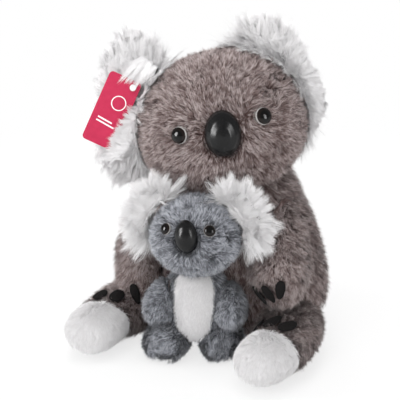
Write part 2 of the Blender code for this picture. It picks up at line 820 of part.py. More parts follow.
# Mother's head on its neck pivot
neck = add_pivot("mother_neck_pivot", (0, NECK_BACK, NECK_HEIGHT_SHARE * TORSO_HEIGHT), (0, HEAD_TILT, HEAD_TURN))
head_form = head_rings(HEAD_CENTRE, HEAD_HALF_WIDTH, HEAD_HALF_DEPTH, HEAD_HALF_HEIGHT, MUZZLE_OUT)
head = soft_form("mother_head", head_form, HEAD_SIDES, TAUPE_PLUSH, neck)
neck_place = neck.matrix_world.translation
ears = {}
for side, word, root_share, ear_half_length, ear_lift in (
    (1, "left", LEFT_EAR_ROOT_SHARE, LEFT_EAR_HALF_LENGTH, 0),
    (-1, "right", RIGHT_EAR_ROOT_SHARE, RIGHT_EAR_HALF_LENGTH, RIGHT_EAR_LIFT),
):
    ear_sizes = (HEAD_HALF_WIDTH, root_share, EAR_REACH, ear_half_length, EAR_HALF_THICKNESS, EAR_RISE,
                 EAR_BACK)
    ear_level = HEAD_CENTRE + UP * ear_lift
    ears[word] = add_ear("mother_" + word, head, neck, side, ear_level, ear_sizes, EAR_SIDES)

# Mother's plastic nose and eyes
nose_sizes = (NOSE_WIDTH, NOSE_HEIGHT, NOSE_RISE, NOSE_ABOVE_CENTRE, NOSE_SHANK_RADIUS, NOSE_SHANK_LENGTH,
              NOSE_WASHER_RADIUS, NOSE_ROLL)
add_nose("mother", head, neck, HEAD_CENTRE, nose_sizes)
eye_sizes = (EYE_OUT, EYE_ABOVE_CENTRE, EYE_RADIUS, EYE_RISE, EYE_SHANK_RADIUS, EYE_SHANK_LENGTH,
             EYE_WASHER_RADIUS)
add_eye("mother_left", head, neck, 1, HEAD_CENTRE, eye_sizes)
add_eye("mother_right", head, neck, -1, HEAD_CENTRE, eye_sizes)

# Mother's arms: start, bend and end of each one's curve
shoulder_height = SHOULDER_HEIGHT_SHARE * TORSO_HEIGHT
arm_routes = {
    "left": (
        Vector((LEFT_SHOULDER_OUT_SHARE * TORSO_HALF_WIDTH, NECK_BACK, shoulder_height)),
        Vector((LEFT_ELBOW_OUT_SHARE * TORSO_HALF_WIDTH, -LEFT_ELBOW_FORWARD,
                LEFT_ELBOW_HEIGHT_SHARE * TORSO_HEIGHT)),
        Vector((LEFT_PAW_OUT_SHARE * TORSO_HALF_WIDTH, -LEFT_PAW_FORWARD,
                LEFT_PAW_HEIGHT_SHARE * TORSO_HEIGHT)),
    ),
    "right": (
        Vector((-RIGHT_SHOULDER_OUT_SHARE * TORSO_HALF_WIDTH, NECK_BACK, shoulder_height)),
        Vector((-RIGHT_ELBOW_OUT_SHARE * TORSO_HALF_WIDTH, -RIGHT_ELBOW_FORWARD,
                RIGHT_ELBOW_HEIGHT_SHARE * TORSO_HEIGHT)),
        Vector((-RIGHT_PAW_OUT_SHARE * TORSO_HALF_WIDTH, -RIGHT_PAW_FORWARD,
                RIGHT_PAW_HEIGHT_SHARE * TORSO_HEIGHT)),
    ),
}

# The left arm swings out to the side, over the thigh; the right one, which lies inside the thigh, forwards
arm_axes = {"left": FRONT, "right": RAISE_AXIS}

# Mother's legs
leg_start = Vector((HIP_OUT_SHARE * TORSO_HALF_WIDTH, -HIP_FORWARD, LEG_HALF_HEIGHT))
leg_bend = Vector((KNEE_OUT_SHARE * TORSO_HALF_WIDTH, -KNEE_FORWARD, LEG_HALF_HEIGHT))
leg_end = Vector((FOOT_OUT_SHARE * TORSO_HALF_WIDTH, -FOOT_FORWARD, LEG_HALF_HEIGHT))
limbs = {}
for side, word in ((1, "left"), (-1, "right")):
    mirror = Vector((side, 1, 1))
    prefix = "mother_" + word

    # The leg and its sole are one stuffed form, parted at the seam
    hip = add_pivot(prefix + "_hip_pivot", leg_start * mirror)
    rings = limb_rings(leg_start * mirror, leg_bend * mirror, leg_end * mirror, LEG_HALF_WIDTH,
                       LEG_HALF_HEIGHT, LEG_RING_SHARES, Vector((side, 0, 0)))
    leg = soft_form(prefix + "_leg", rings, LEG_SIDES, TAUPE_PLUSH)
    sit_on_floor(leg)
    sole = subdivide(add_object(prefix + "_sole", leg.data.copy(), WHITE_PLUSH))
    sole.data.materials.clear()
    sole.data.materials.append(finish(prefix + "_sole_finish", WHITE_PLUSH))
    heading = ((leg_end - leg_bend) * mirror).normalized()
    seam = bend_point(leg_start * mirror, leg_bend * mirror, leg_end * mirror, SOLE_SEAM_SHARE)
    seam_tip = Matrix.Rotation(-SOLE_TIP, 3, heading.cross(UP).normalized())
    sole_way = seam_tip @ heading
    for piece, gap, operation in ((sole, SEAM_GAP / 2, "INTERSECT"), (leg, -SEAM_GAP / 2, "DIFFERENCE")):
        bm = bmesh.new()
        bmesh.ops.create_cube(bm, size=1)
        bmesh.ops.scale(bm, vec=Vector((1, 1, 1)) * CUT_OVERRUN, verts=bm.verts)
        bmesh.ops.translate(bm, vec=Vector((0, 0, CUT_OVERRUN / 2 + gap)), verts=bm.verts)
        block = add_object(piece.name + "_seam_block", mesh_from(bm, piece.name + "_seam_block"), smooth=False)
        aim(block, seam, sole_way, UP)
        cut(piece, block, operation)
    limbs[word] = {"leg": leg, "sole": sole, "hip": hip, "seam": seam, "heading": heading}

    route = arm_routes[word]
    arm = add_arm(prefix, route, ARM_HALF_WIDTH, ARM_HALF_THICKNESS, Vector((side * ARM_FLARE, -1, 0)),
                  ARM_SIDES, TAUPE_PLUSH)
    shoulder = add_pivot(prefix + "_shoulder_pivot", route[0])
    limbs[word].update(arm=arm, shoulder=shoulder, arm_axis=arm_axes[word])

# Cuts where the mother's soft forms press on each other, larger into smaller
cut(head, neck_seat)
for side, word, claw_inset, claw_flare in (
    (1, "left", LEFT_FOOT_CLAW_INSET, LEFT_PAW_CLAW_FLARE),
    (-1, "right", RIGHT_FOOT_CLAW_INSET, RIGHT_PAW_CLAW_FLARE),
):
    limb = limbs[word]
    prefix = "mother_" + word
    hip_place = limb["hip"].location
    shoulder_place = limb["shoulder"].location
    cut_for_swing(limb["leg"], torso, hip_place, UP * side, LEG_STOPS)
    cut(limb["leg"], FLOOR)
    cut(limb["sole"], FLOOR)
    cut_for_swing(limb["arm"], torso, shoulder_place, limb["arm_axis"], ARM_STOPS)
    cut_for_swing(limb["arm"], head, neck_place, UP, HEAD_STOPS, child_moves=False)
    cut_for_swing(limb["arm"], limb["leg"], shoulder_place, limb["arm_axis"], ARM_STOPS)
    cut_for_swing(limb["arm"], limb["leg"], hip_place, UP * side, LEG_STOPS[1:], child_moves=False)

    # Claws over the foot's seam
    across = limb["heading"].cross(UP).normalized()
    for number in range(CLAW_COUNT):
        spread = (number - (CLAW_COUNT - 1) / 2) * FOOT_CLAW_SPREAD + side * claw_inset
        above = limb["seam"] + across * spread + UP * CUT_OVERRUN - limb["heading"] * FOOT_CLAW_BEHIND_SEAM
        place, out = surface_hit(limb["leg"], above, -UP)
        add_claw(f"{prefix}_foot_claw_{number + 1}", limb["leg"], limb["hip"], place, out, -limb["heading"],
                 FOOT_CLAW_LENGTH, FOOT_CLAW_WIDTH)

    # Claws on the paw
    start, bend, end = arm_routes[word]
    paw_heading = (end - bend).normalized()
    paw_out = FRONT + Vector((side * claw_flare, 0, 0))
    paw_out = (paw_out - paw_heading * paw_out.dot(paw_heading)).normalized()
    across = paw_heading.cross(paw_out).normalized()
    approach = (paw_out + paw_heading * PAW_CLAW_DIP).normalized()
    middle = bend_point(start, bend, end, PAW_CLAW_ALONG_SHARE)
    for number in range(CLAW_COUNT):
        spread = (number - (CLAW_COUNT - 1) / 2) * PAW_CLAW_SPREAD
        place, out = surface_hit(limb["arm"], middle + across * spread + approach * CUT_OVERRUN, -approach)
        claw = add_claw(f"{prefix}_paw_claw_{number + 1}", limb["arm"], limb["shoulder"], place, out,
                        paw_heading, PAW_CLAW_LENGTH, PAW_CLAW_WIDTH)
        cut_by_form(claw, limb["leg"])
    for piece in (limb["leg"], limb["sole"]):
        carried(piece, limb["hip"])
    carried(limb["arm"], limb["shoulder"])

# Hang tag on its pin, in front of the right ear
ear, ear_pivot, ear_hinge, ear_axis = ears["right"]
turn = neck.matrix_world.to_3x3()
ear_out = turn @ Vector((-math.cos(EAR_RISE), 0, math.sin(EAR_RISE)))
pin_aim = ear_hinge + ear_out * EAR_REACH * TAG_PIN_OUT_SHARE
pin_aim += ear_axis * RIGHT_EAR_HALF_LENGTH * TAG_PIN_UP_SHARE
pin_place, pin_out = surface_hit(ear, pin_aim + (turn @ FRONT) * CUT_OVERRUN, turn @ -FRONT)
tag_pivot = add_pivot("tag_pivot", pin_place)
carried(tag_pivot, ear_pivot)

# The card hangs down from its hole, leaning away from the head; its back clears the ear
card_low = Vector((TAG_HOLE_INSET - TAG_WIDTH, TAG_HOLE_INSET - TAG_LENGTH, 0))
card_high = Vector((TAG_HOLE_INSET, TAG_HOLE_INSET, 0))
card = flat_curve("hang_tag", [rounded_outline(card_low, card_high, TAG_CORNER, TAG_CORNER_STEPS),
                               circle_outline(TAG_HOLE_RADIUS, TAG_HOLE_STEPS)], TAG_THICKNESS / 2, RED_CARD)
card_up = Matrix.Rotation(-TAG_LEAN, 3, pin_out) @ UP
aim(card, pin_place + pin_out * (SEAM_GAP + TAG_THICKNESS / 2), pin_out, card_up)
carried(card, tag_pivot)

pin_head_foot = SEAM_GAP * 2 + TAG_THICKNESS
pin_profile = [
    (0, pin_head_foot + TAG_PIN_HEAD_THICKNESS),
    (TAG_PIN_HEAD_RADIUS, pin_head_foot + TAG_PIN_HEAD_THICKNESS),
    (TAG_PIN_HEAD_RADIUS, pin_head_foot),
    (TAG_PIN_RADIUS, pin_head_foot),
    (TAG_PIN_RADIUS, -TAG_PIN_SINK),
    (0, -TAG_PIN_SINK),
]
pin = turned_piece("tag_pin", pin_profile, CLEAR_PLASTIC)
bore_radius = TAG_PIN_RADIUS + SEAM_GAP
bore_profile = [(0, TAG_PIN_SINK), (bore_radius, TAG_PIN_SINK), (bore_radius, -TAG_PIN_SINK - SEAM_GAP),
                (0, -TAG_PIN_SINK - SEAM_GAP)]
pin_bore = turned_piece("tag_pin_bore", bore_profile)
for piece in (pin, pin_bore):
    aim(piece, pin_place, pin_out, UP)
    carried(piece, ear_pivot)
cut(ear, pin_bore)

# Baby: body, head, ears, limbs and bib in the baby's own frame
baby = add_pivot("baby_pivot", BABY_PLACE, (0, 0, BABY_TURN))

baby_body = soft_form("baby_body", baby_rings(), BABY_SIDES, GREY_PLUSH, baby)
baby_seat = subdivide(add_object("baby_neck_seat", cage_mesh("baby_neck_seat", baby_rings(), BABY_NECK_SIDES),
                                 None, baby))
grow(baby_seat, SWING_GAP)

baby_neck = add_pivot("baby_neck_pivot", (0, 0, BABY_NECK_HEIGHT_SHARE * BABY_HEIGHT), (0, BABY_HEAD_TILT, BABY_HEAD_TURN), baby)
baby_head_form = head_rings(BABY_HEAD_CENTRE, BABY_HEAD_HALF_WIDTH, BABY_HEAD_HALF_DEPTH,
                            BABY_HEAD_HALF_HEIGHT, BABY_MUZZLE_OUT)
baby_head = soft_form("baby_head", baby_head_form, BABY_HEAD_SIDES, GREY_PLUSH, baby_neck)
cut_by_form(baby_head, torso, BABY_HEAD_CLEARANCE)
baby_ear_sizes = (BABY_HEAD_HALF_WIDTH, BABY_EAR_ROOT_SHARE, BABY_EAR_REACH, BABY_EAR_HALF_LENGTH,
                  BABY_EAR_HALF_THICKNESS, BABY_EAR_RISE, BABY_EAR_BACK)
add_ear("baby_left", baby_head, baby_neck, 1, BABY_HEAD_CENTRE, baby_ear_sizes, BABY_EAR_SIDES)
add_ear("baby_right", baby_head, baby_neck, -1, BABY_HEAD_CENTRE, baby_ear_sizes, BABY_EAR_SIDES)
baby_nose_sizes = (BABY_NOSE_WIDTH, BABY_NOSE_HEIGHT, BABY_NOSE_RISE, BABY_NOSE_ABOVE_CENTRE,
                   BABY_NOSE_SHANK_RADIUS, BABY_NOSE_SHANK_LENGTH, BABY_NOSE_WASHER_RADIUS, 0)
add_nose("baby", baby_head, baby_neck, BABY_HEAD_CENTRE, baby_nose_sizes)
baby_eye_sizes = (BABY_EYE_OUT, BABY_EYE_ABOVE_CENTRE, BABY_EYE_RADIUS, BABY_EYE_RISE,
                  BABY_EYE_SHANK_RADIUS, BABY_EYE_SHANK_LENGTH, BABY_EYE_WASHER_RADIUS)
add_eye("baby_left", baby_head, baby_neck, 1, BABY_HEAD_CENTRE, baby_eye_sizes)
add_eye("baby_right", baby_head, baby_neck, -1, BABY_HEAD_CENTRE, baby_eye_sizes)
cut(baby_head, baby_seat)

baby_limbs = []
for side, word, foot_forward in ((1, "left", BABY_LEFT_FOOT_FORWARD), (-1, "right", BABY_RIGHT_FOOT_FORWARD)):
    prefix = "baby_" + word
    leg_route = (
        baby_point(side, BABY_HIP_OUT_SHARE, BABY_HIP_FORWARD, BABY_HIP_HEIGHT),
        baby_point(side, BABY_KNEE_OUT_SHARE, BABY_KNEE_FORWARD, BABY_LEG_HALF_HEIGHT),
        baby_point(side, BABY_FOOT_OUT_SHARE, foot_forward, BABY_LEG_HALF_HEIGHT),
    )
    rings = limb_rings(*leg_route, BABY_LEG_HALF_WIDTH, BABY_LEG_HALF_HEIGHT, BABY_LEG_RING_SHARES,
                       Vector((side, 0, 0)))
    baby_leg = soft_form(prefix + "_leg", rings, BABY_LEG_SIDES, GREY_PLUSH, baby)
    sit_on_floor(baby_leg)
    arm_route = (
        baby_point(side, BABY_SHOULDER_OUT_SHARE, 0, BABY_SHOULDER_HEIGHT_SHARE * BABY_HEIGHT),
        baby_point(side, BABY_ELBOW_OUT_SHARE, BABY_ELBOW_FORWARD, BABY_ELBOW_HEIGHT_SHARE * BABY_HEIGHT),
        baby_point(side, BABY_PAW_OUT_SHARE, BABY_PAW_FORWARD, BABY_PAW_HEIGHT_SHARE * BABY_HEIGHT),
    )
    baby_shoulder = add_pivot(prefix + "_shoulder_pivot", arm_route[0], None, baby)
    baby_arm = add_arm(prefix, arm_route, BABY_ARM_HALF_WIDTH, BABY_ARM_HALF_THICKNESS,
                       Vector((side * ARM_FLARE, -1, 0)), BABY_ARM_SIDES, GREY_PLUSH, baby)
    baby_limbs.append((baby_leg, baby_arm, baby_shoulder))

# The bib lies on the belly: a thin panel that follows the body's curve inside its outline
bib = soft_form("baby_bib", baby_rings(), BABY_SIDES, WHITE_PLUSH, baby)
grow(bib, SEAM_GAP + BIB_THICKNESS)
bm = bmesh.new()
bib_points = []
for across, height in BIB_OUTLINE_SHARES:
    bib_points.append(bm.verts.new((across * BIB_HALF_WIDTH, 0, height * BABY_HEIGHT)))
for across, height in reversed(BIB_OUTLINE_SHARES):
    bib_points.append(bm.verts.new((-across * BIB_HALF_WIDTH, 0, height * BABY_HEIGHT)))
pulled = bmesh.ops.extrude_face_region(bm, geom=[bm.faces.new(bib_points)])
pulled_points = [item for item in pulled["geom"] if isinstance(item, bmesh.types.BMVert)]
bmesh.ops.translate(bm, vec=FRONT * CUT_OVERRUN, verts=pulled_points)
bib_block = add_object("bib_block", mesh_from(bm, "bib_block"), None, baby, smooth=False)
cut(bib, bib_block, "INTERSECT")
cut_by_form(bib, baby_body)

# Cuts where the baby's soft forms press on each other and on the mother's tummy
baby_raise = baby.matrix_world.to_3x3() @ RAISE_AXIS
for baby_leg, baby_arm, baby_shoulder in baby_limbs:
    cut_by_form(baby_leg, baby_body)
    cut(baby_leg, FLOOR)
    shoulder_place = baby_shoulder.matrix_world.translation
    for neighbour in (torso, baby_head, baby_leg):
        cut_by_form(baby_arm, neighbour, BABY_ARM_CLEARANCE)
    cut_for_swing(baby_arm, baby_body, shoulder_place, baby_raise, BABY_ARM_STOPS)
    cut_by_form(bib, baby_leg)
    cut_by_form(bib, baby_arm, BABY_ARM_CLEARANCE)
    carried(baby_arm, baby_shoulder)
cut_by_form(baby_body, torso)
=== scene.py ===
# %% [markdown]
# # A mother koala and her baby, in plush
# The real toy is a set of stuffed cloth forms. Their cloth carries a pile of fine fibres, and plastic eyes
# and noses, felt claws and a card tag are set into it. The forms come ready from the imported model. This
# script gives each one its coat and its finish, and then a floor, lamps and a camera.

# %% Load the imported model
import json
import math

import bpy
import numpy as np
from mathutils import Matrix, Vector
from mathutils.bvhtree import BVHTree
from mathutils.kdtree import KDTree


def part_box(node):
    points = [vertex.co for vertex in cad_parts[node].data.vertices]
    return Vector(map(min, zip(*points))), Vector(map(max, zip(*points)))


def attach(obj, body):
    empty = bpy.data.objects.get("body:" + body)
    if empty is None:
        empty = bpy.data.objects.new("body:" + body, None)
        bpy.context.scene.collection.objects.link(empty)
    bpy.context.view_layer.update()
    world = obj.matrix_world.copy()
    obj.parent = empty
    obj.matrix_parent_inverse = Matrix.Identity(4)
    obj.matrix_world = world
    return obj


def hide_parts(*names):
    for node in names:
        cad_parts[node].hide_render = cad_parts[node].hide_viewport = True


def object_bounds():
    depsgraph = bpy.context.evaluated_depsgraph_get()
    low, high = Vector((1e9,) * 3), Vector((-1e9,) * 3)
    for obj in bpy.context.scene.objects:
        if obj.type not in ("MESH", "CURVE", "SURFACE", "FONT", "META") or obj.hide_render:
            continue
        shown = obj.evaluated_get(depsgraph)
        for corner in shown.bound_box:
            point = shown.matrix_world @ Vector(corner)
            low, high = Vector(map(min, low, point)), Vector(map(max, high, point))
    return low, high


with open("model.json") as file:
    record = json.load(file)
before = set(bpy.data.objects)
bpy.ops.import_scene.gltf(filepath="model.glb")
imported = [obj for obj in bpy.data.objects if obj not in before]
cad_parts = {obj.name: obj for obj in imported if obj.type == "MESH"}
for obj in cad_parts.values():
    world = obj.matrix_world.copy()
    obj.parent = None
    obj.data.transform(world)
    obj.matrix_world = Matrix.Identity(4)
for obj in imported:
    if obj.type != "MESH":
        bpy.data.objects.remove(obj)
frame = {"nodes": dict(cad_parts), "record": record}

nodes = frame["nodes"]
body_of = {node: body for body, members in frame["record"]["behaviour"]["bodies"].items() for node in members}
cad_box = [list(corner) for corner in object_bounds()]
print("nodes", len(nodes), "box", cad_box)


def linked(name, data):
    """A new object that shows data, put into the scene."""
    made = bpy.data.objects.new(name, data)
    bpy.context.scene.collection.objects.link(made)
    return made


# %% [markdown]
# ## Camera
# The photograph looks down on the toy a little, from its left. A camera could be placed by eye, but a turn, a
# rise and a distance from one point can be read and changed singly. A long lens from a metre away keeps the
# proportions of a small thing, where a short lens close by would swell its nose.

# %% Camera
LOOK_AT = Vector((-0.0135, -0.018, 0.1156))
CAMERA_TURN = math.radians(25)
CAMERA_RISE = math.radians(16)
CAMERA_FAR = 1.0
SEEN_WIDTH = 0.32
SENSOR_WIDTH = 36

away = Vector((math.sin(CAMERA_TURN) * math.cos(CAMERA_RISE), -math.cos(CAMERA_TURN) * math.cos(CAMERA_RISE),
               math.sin(CAMERA_RISE)))
camera = linked("camera", bpy.data.cameras.new("camera"))
camera.data.sensor_width = SENSOR_WIDTH
camera.data.lens = SENSOR_WIDTH * CAMERA_FAR / SEEN_WIDTH
camera.location = LOOK_AT + away * CAMERA_FAR
camera.rotation_euler = (-away).to_track_quat("-Z", "Y").to_euler()
bpy.context.scene.camera = camera
print("lens", round(camera.data.lens, 1))

# %% [markdown]
# ## Writing materials as sums
# A material is a small net of nodes. Here a socket is wrapped in a Python object, so that a sum on it adds
# the Math node that does the same, and everything else comes from one method that adds any node.


# %% A socket that takes Python's operators
class Wire:
    """A socket of numbers in a material; sums on it add Math nodes."""

    def __init__(self, finish, socket):
        self.finish = finish
        self.socket = socket

    def math(self, operation, first, second=0.0):
        return self.finish.node("ShaderNodeMath", {"operation": operation}, {0: first, 1: second})

    def __add__(self, other):
        return self.math("ADD", self, other)

    def __sub__(self, other):
        return self.math("SUBTRACT", self, other)

    def __rsub__(self, other):
        return self.math("SUBTRACT", other, self)

    def __mul__(self, other):
        return self.math("MULTIPLY", self, other)

    def __truediv__(self, other):
        return self.math("DIVIDE", self, other)

    def __pow__(self, other):
        return self.math("POWER", self, other)

    def clamped(self):
        return self.finish.node("ShaderNodeMath", {"operation": "ADD", "use_clamp": True}, {0: self, 1: 0.0})

    def over(self, edge):
        return self.math("GREATER_THAN", self, edge)

    __radd__ = __add__
    __rmul__ = __mul__


print("a wire takes + - * / and **")


# %% A finish: one Principled material with any nodes behind it
class Finish:
    """A material whose method node() adds one node and gives its output back as a Wire."""

    def __init__(self, name, **constants):
        self.material = bpy.data.materials.new(name)
        self.material.use_nodes = True
        self.tree = self.material.node_tree
        self.shader = self.tree.nodes["Principled BSDF"]
        for socket, value in constants.items():
            self.shader.inputs[socket.replace("_", " ")].default_value = value

    def plug(self, socket, value):
        if isinstance(value, Wire):
            self.tree.links.new(value.socket, socket)
        else:
            socket.default_value = value

    def node(self, kind, settings=None, sockets=None, output=0):
        made = self.tree.nodes.new(kind)
        for name, value in (settings or {}).items():
            if name == "stops":
                ramp = made.color_ramp.elements
                while len(ramp) < len(value):
                    ramp.new(0.5)
                for element, (place, colour) in zip(ramp, value):
                    element.position = place
                    element.color = (*colour, 1.0)
            else:
                setattr(made, name, value)
        for name, value in (sockets or {}).items():
            self.plug(made.inputs[name], value)
        return Wire(self, made.outputs[output])

    def set(self, **sockets):
        for name, value in sockets.items():
            self.plug(self.shader.inputs[name.replace("_", " ")], value)
        return self

    def places(self):
        return self.node("ShaderNodeTexCoord", None, None, "Object")

    def noise(self, scale, detail=2.0, roughness=0.5, distortion=0.0):
        sockets = {"Vector": self.places(), "Scale": scale, "Detail": detail, "Roughness": roughness,
                   "Distortion": distortion}
        return self.node("ShaderNodeTexNoise", None, sockets, "Fac")

    def ramp(self, value, stops):
        return self.node("ShaderNodeValToRGB", {"stops": stops}, {"Fac": value}, "Color")

    def bump(self, height, depth, strength=1.0):
        return self.node("ShaderNodeBump", None, {"Height": height, "Distance": depth, "Strength": strength},
                         "Normal")


print("finishes are written as sums")

# %% [markdown]
# ## The pile
# Plush is dyed in small patches, its fibres are paler at their tips and stand in little locks. Two numbers
# are kept on each fibre: how far along it a point lies, and a tone of its own, which on her face also carries
# painted shade along partings and creases. Patches come from noise in the toy's own space.


# %% Plush finishes
PLUSH_STOPS = (0.44, 0.76, 1.0)


def plush(name, dark, middle, light, patch_scale, patch_share, along_share, tone_share):
    """A pile's finish: patches, paler tips and a tone for each fibre."""
    finish = Finish(name, Roughness=0.9, Specular_IOR_Level=0.15, Sheen_Weight=0.25, Sheen_Roughness=0.6)
    along = finish.node("ShaderNodeAttribute", {"attribute_name": "along"}, None, "Fac")
    tone = finish.node("ShaderNodeAttribute", {"attribute_name": "tone"}, None, "Fac")
    patches = finish.noise(patch_scale, 3.0, 0.6, 1.0)
    shade = patches * patch_share + along * along_share + tone * tone_share
    finish.set(Base_Color=finish.ramp(shade, tuple(zip(PLUSH_STOPS, (dark, middle, light)))))
    return finish.material


LOOKS = {
    "taupe": plush("taupe_plush", (0.047, 0.023, 0.020), (0.180, 0.122, 0.115), (0.50, 0.425, 0.413),
                   patch_scale=130, patch_share=0.78, along_share=0.42, tone_share=0.42),
    "grey": plush("grey_plush", (0.028, 0.030, 0.037), (0.145, 0.152, 0.174), (0.50, 0.515, 0.56),
                  patch_scale=170, patch_share=0.78, along_share=0.40, tone_share=0.44),
    "white": plush("white_plush", (0.80, 0.79, 0.795), (0.90, 0.89, 0.895), (0.96, 0.955, 0.96),
                   patch_scale=90, patch_share=0.30, along_share=0.40, tone_share=0.45),
}
print("plush", sorted(LOOKS))

# %% [markdown]
# ## Skins
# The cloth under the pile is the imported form, drawn in by the part of the pile that stands over it. A cloth
# simulation could drape it, but a stuffed form keeps its shape, so the form is used as it is. Voxel remeshing
# gives it even faces, and so an even coat.


# %% Skins
def applied(piece):
    """The piece with its modifiers made real."""
    bpy.context.view_layer.update()
    mesh = bpy.data.meshes.new_from_object(piece.evaluated_get(bpy.context.evaluated_depsgraph_get()))
    piece.modifiers.clear()
    piece.data = mesh
    return piece


insets = {}


def skin_of(node, look, inset, voxel):
    """The cloth form under a node's pile."""
    insets[node] = inset
    piece = linked(node + "_skin", nodes[node].data.copy())
    piece.data.materials.clear()
    remesh = piece.modifiers.new("even", "REMESH")
    remesh.mode = "VOXEL"
    remesh.voxel_size = voxel
    draw_in = piece.modifiers.new("draw_in", "DISPLACE")
    draw_in.strength = -inset
    draw_in.mid_level = 0.0
    soften = piece.modifiers.new("soften", "SMOOTH")
    soften.factor = 0.5
    soften.iterations = 3
    applied(piece)
    piece.data.materials.append(LOOKS[look])
    piece.data.shade_smooth()
    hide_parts(node)
    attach(piece, body_of[node])
    return piece


def tree_of(piece):
    return BVHTree.FromPolygons([v.co.copy() for v in piece.data.vertices],
                                [tuple(p.vertices) for p in piece.data.polygons])


trees = {node: tree_of(piece) for node, piece in nodes.items()}
boxes = {node: [np.array(corner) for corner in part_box(node)] for node in nodes}
print("trees", len(trees))

# %% [markdown]
# ## Fibres
# Blender's hair strands would be the quick way, but a copy of the model as plain meshes would not hold them.
# Here each fibre is a thin blade of two to four faces, so that it stays real geometry in every copy. Fibres
# near one another lean to one tip and make a lock. Pile is left out where a form is sewn to another, laid
# flat where one presses on it, and short round eyes, noses and claws, as if trimmed there.


# %% Sampling a skin
def scatter(piece, count, rng):
    """Places and outward directions, spread evenly over a skin."""
    mesh = piece.data
    mesh.calc_loop_triangles()
    corners = np.zeros(len(mesh.vertices) * 3)
    mesh.vertices.foreach_get("co", corners)
    corners = corners.reshape(-1, 3)
    outward = np.zeros(len(mesh.vertices) * 3, np.float32)
    mesh.vertex_normals.foreach_get("vector", outward)
    outward = outward.reshape(-1, 3)
    faces = np.zeros(len(mesh.loop_triangles) * 3, np.int32)
    mesh.loop_triangles.foreach_get("vertices", faces)
    faces = faces.reshape(-1, 3)
    a, b, c = (corners[faces[:, k]] for k in range(3))
    areas = np.linalg.norm(np.cross(b - a, c - a), axis=1)
    chosen = rng.choice(len(faces), count, p=areas / areas.sum())
    u, v = rng.random(count), rng.random(count)
    flip = u + v > 1
    u[flip], v[flip] = 1 - u[flip], 1 - v[flip]
    shares = np.stack([1 - u - v, u, v], axis=1)
    places = (corners[faces[chosen]] * shares[:, :, None]).sum(1)
    ways = unit((outward[faces[chosen]] * shares[:, :, None]).sum(1))
    return places, ways


def unit(vectors):
    return vectors / np.maximum(np.linalg.norm(vectors, axis=1, keepdims=True), 1e-9)


def drift(places, size, rng):
    """A slow wander of direction over the toy, as a vector at each place."""
    waves = rng.normal(size=(3, 5, 3)) * (2 * math.pi / size)
    phases = rng.random((3, 5)) * 2 * math.pi
    return np.stack([np.sin(places @ waves[k].T + phases[k]).mean(1) for k in range(3)], axis=1)


# %% Keeping clear of neighbours
# A way that leans off every axis, so that a line along it seldom grazes a facet
OUT_OF_TOY = Vector((0.31, 0.17, 0.93)).normalized()
PAST_HIT = 0.00001


def near_box(places, node, margin):
    low, high = boxes[node]
    return np.all((places > low - margin) & (places < high + margin), axis=1)


def swallowed(places, node):
    """Which places lie inside a node: a line from there leaves it an odd number of times."""
    found = np.zeros(len(places), bool)
    for k in np.nonzero(near_box(places, node, 0.0))[0]:
        hit = trees[node].ray_cast(Vector(places[k]), OUT_OF_TOY)[0]
        while hit is not None:
            found[k] = not found[k]
            hit = trees[node].ray_cast(hit + OUT_OF_TOY * PAST_HIT, OUT_OF_TOY)[0]
    return found


def held_off(points, node, room):
    """The points, each brought out to stand at least room above a node."""
    moved = points.copy()
    for k in np.nonzero(near_box(points, node, room))[0]:
        spot, facing = trees[node].find_nearest(Vector(points[k]))[:2]
        if (Vector(points[k]) - spot).dot(facing) < room:
            moved[k] = spot + facing * room
    return moved


def room_round(places, hard, reach):
    """From 0 at a hard piece to 1 where it is reach away."""
    room = np.ones(len(places))
    for node in hard:
        for k in np.nonzero(near_box(places, node, reach))[0]:
            far = trees[node].find_nearest(Vector(places[k]))[3]
            if far is not None:
                room[k] = min(room[k], far / reach)
    return room


# %% Blades
LOWEST_HAIR = 0.0003


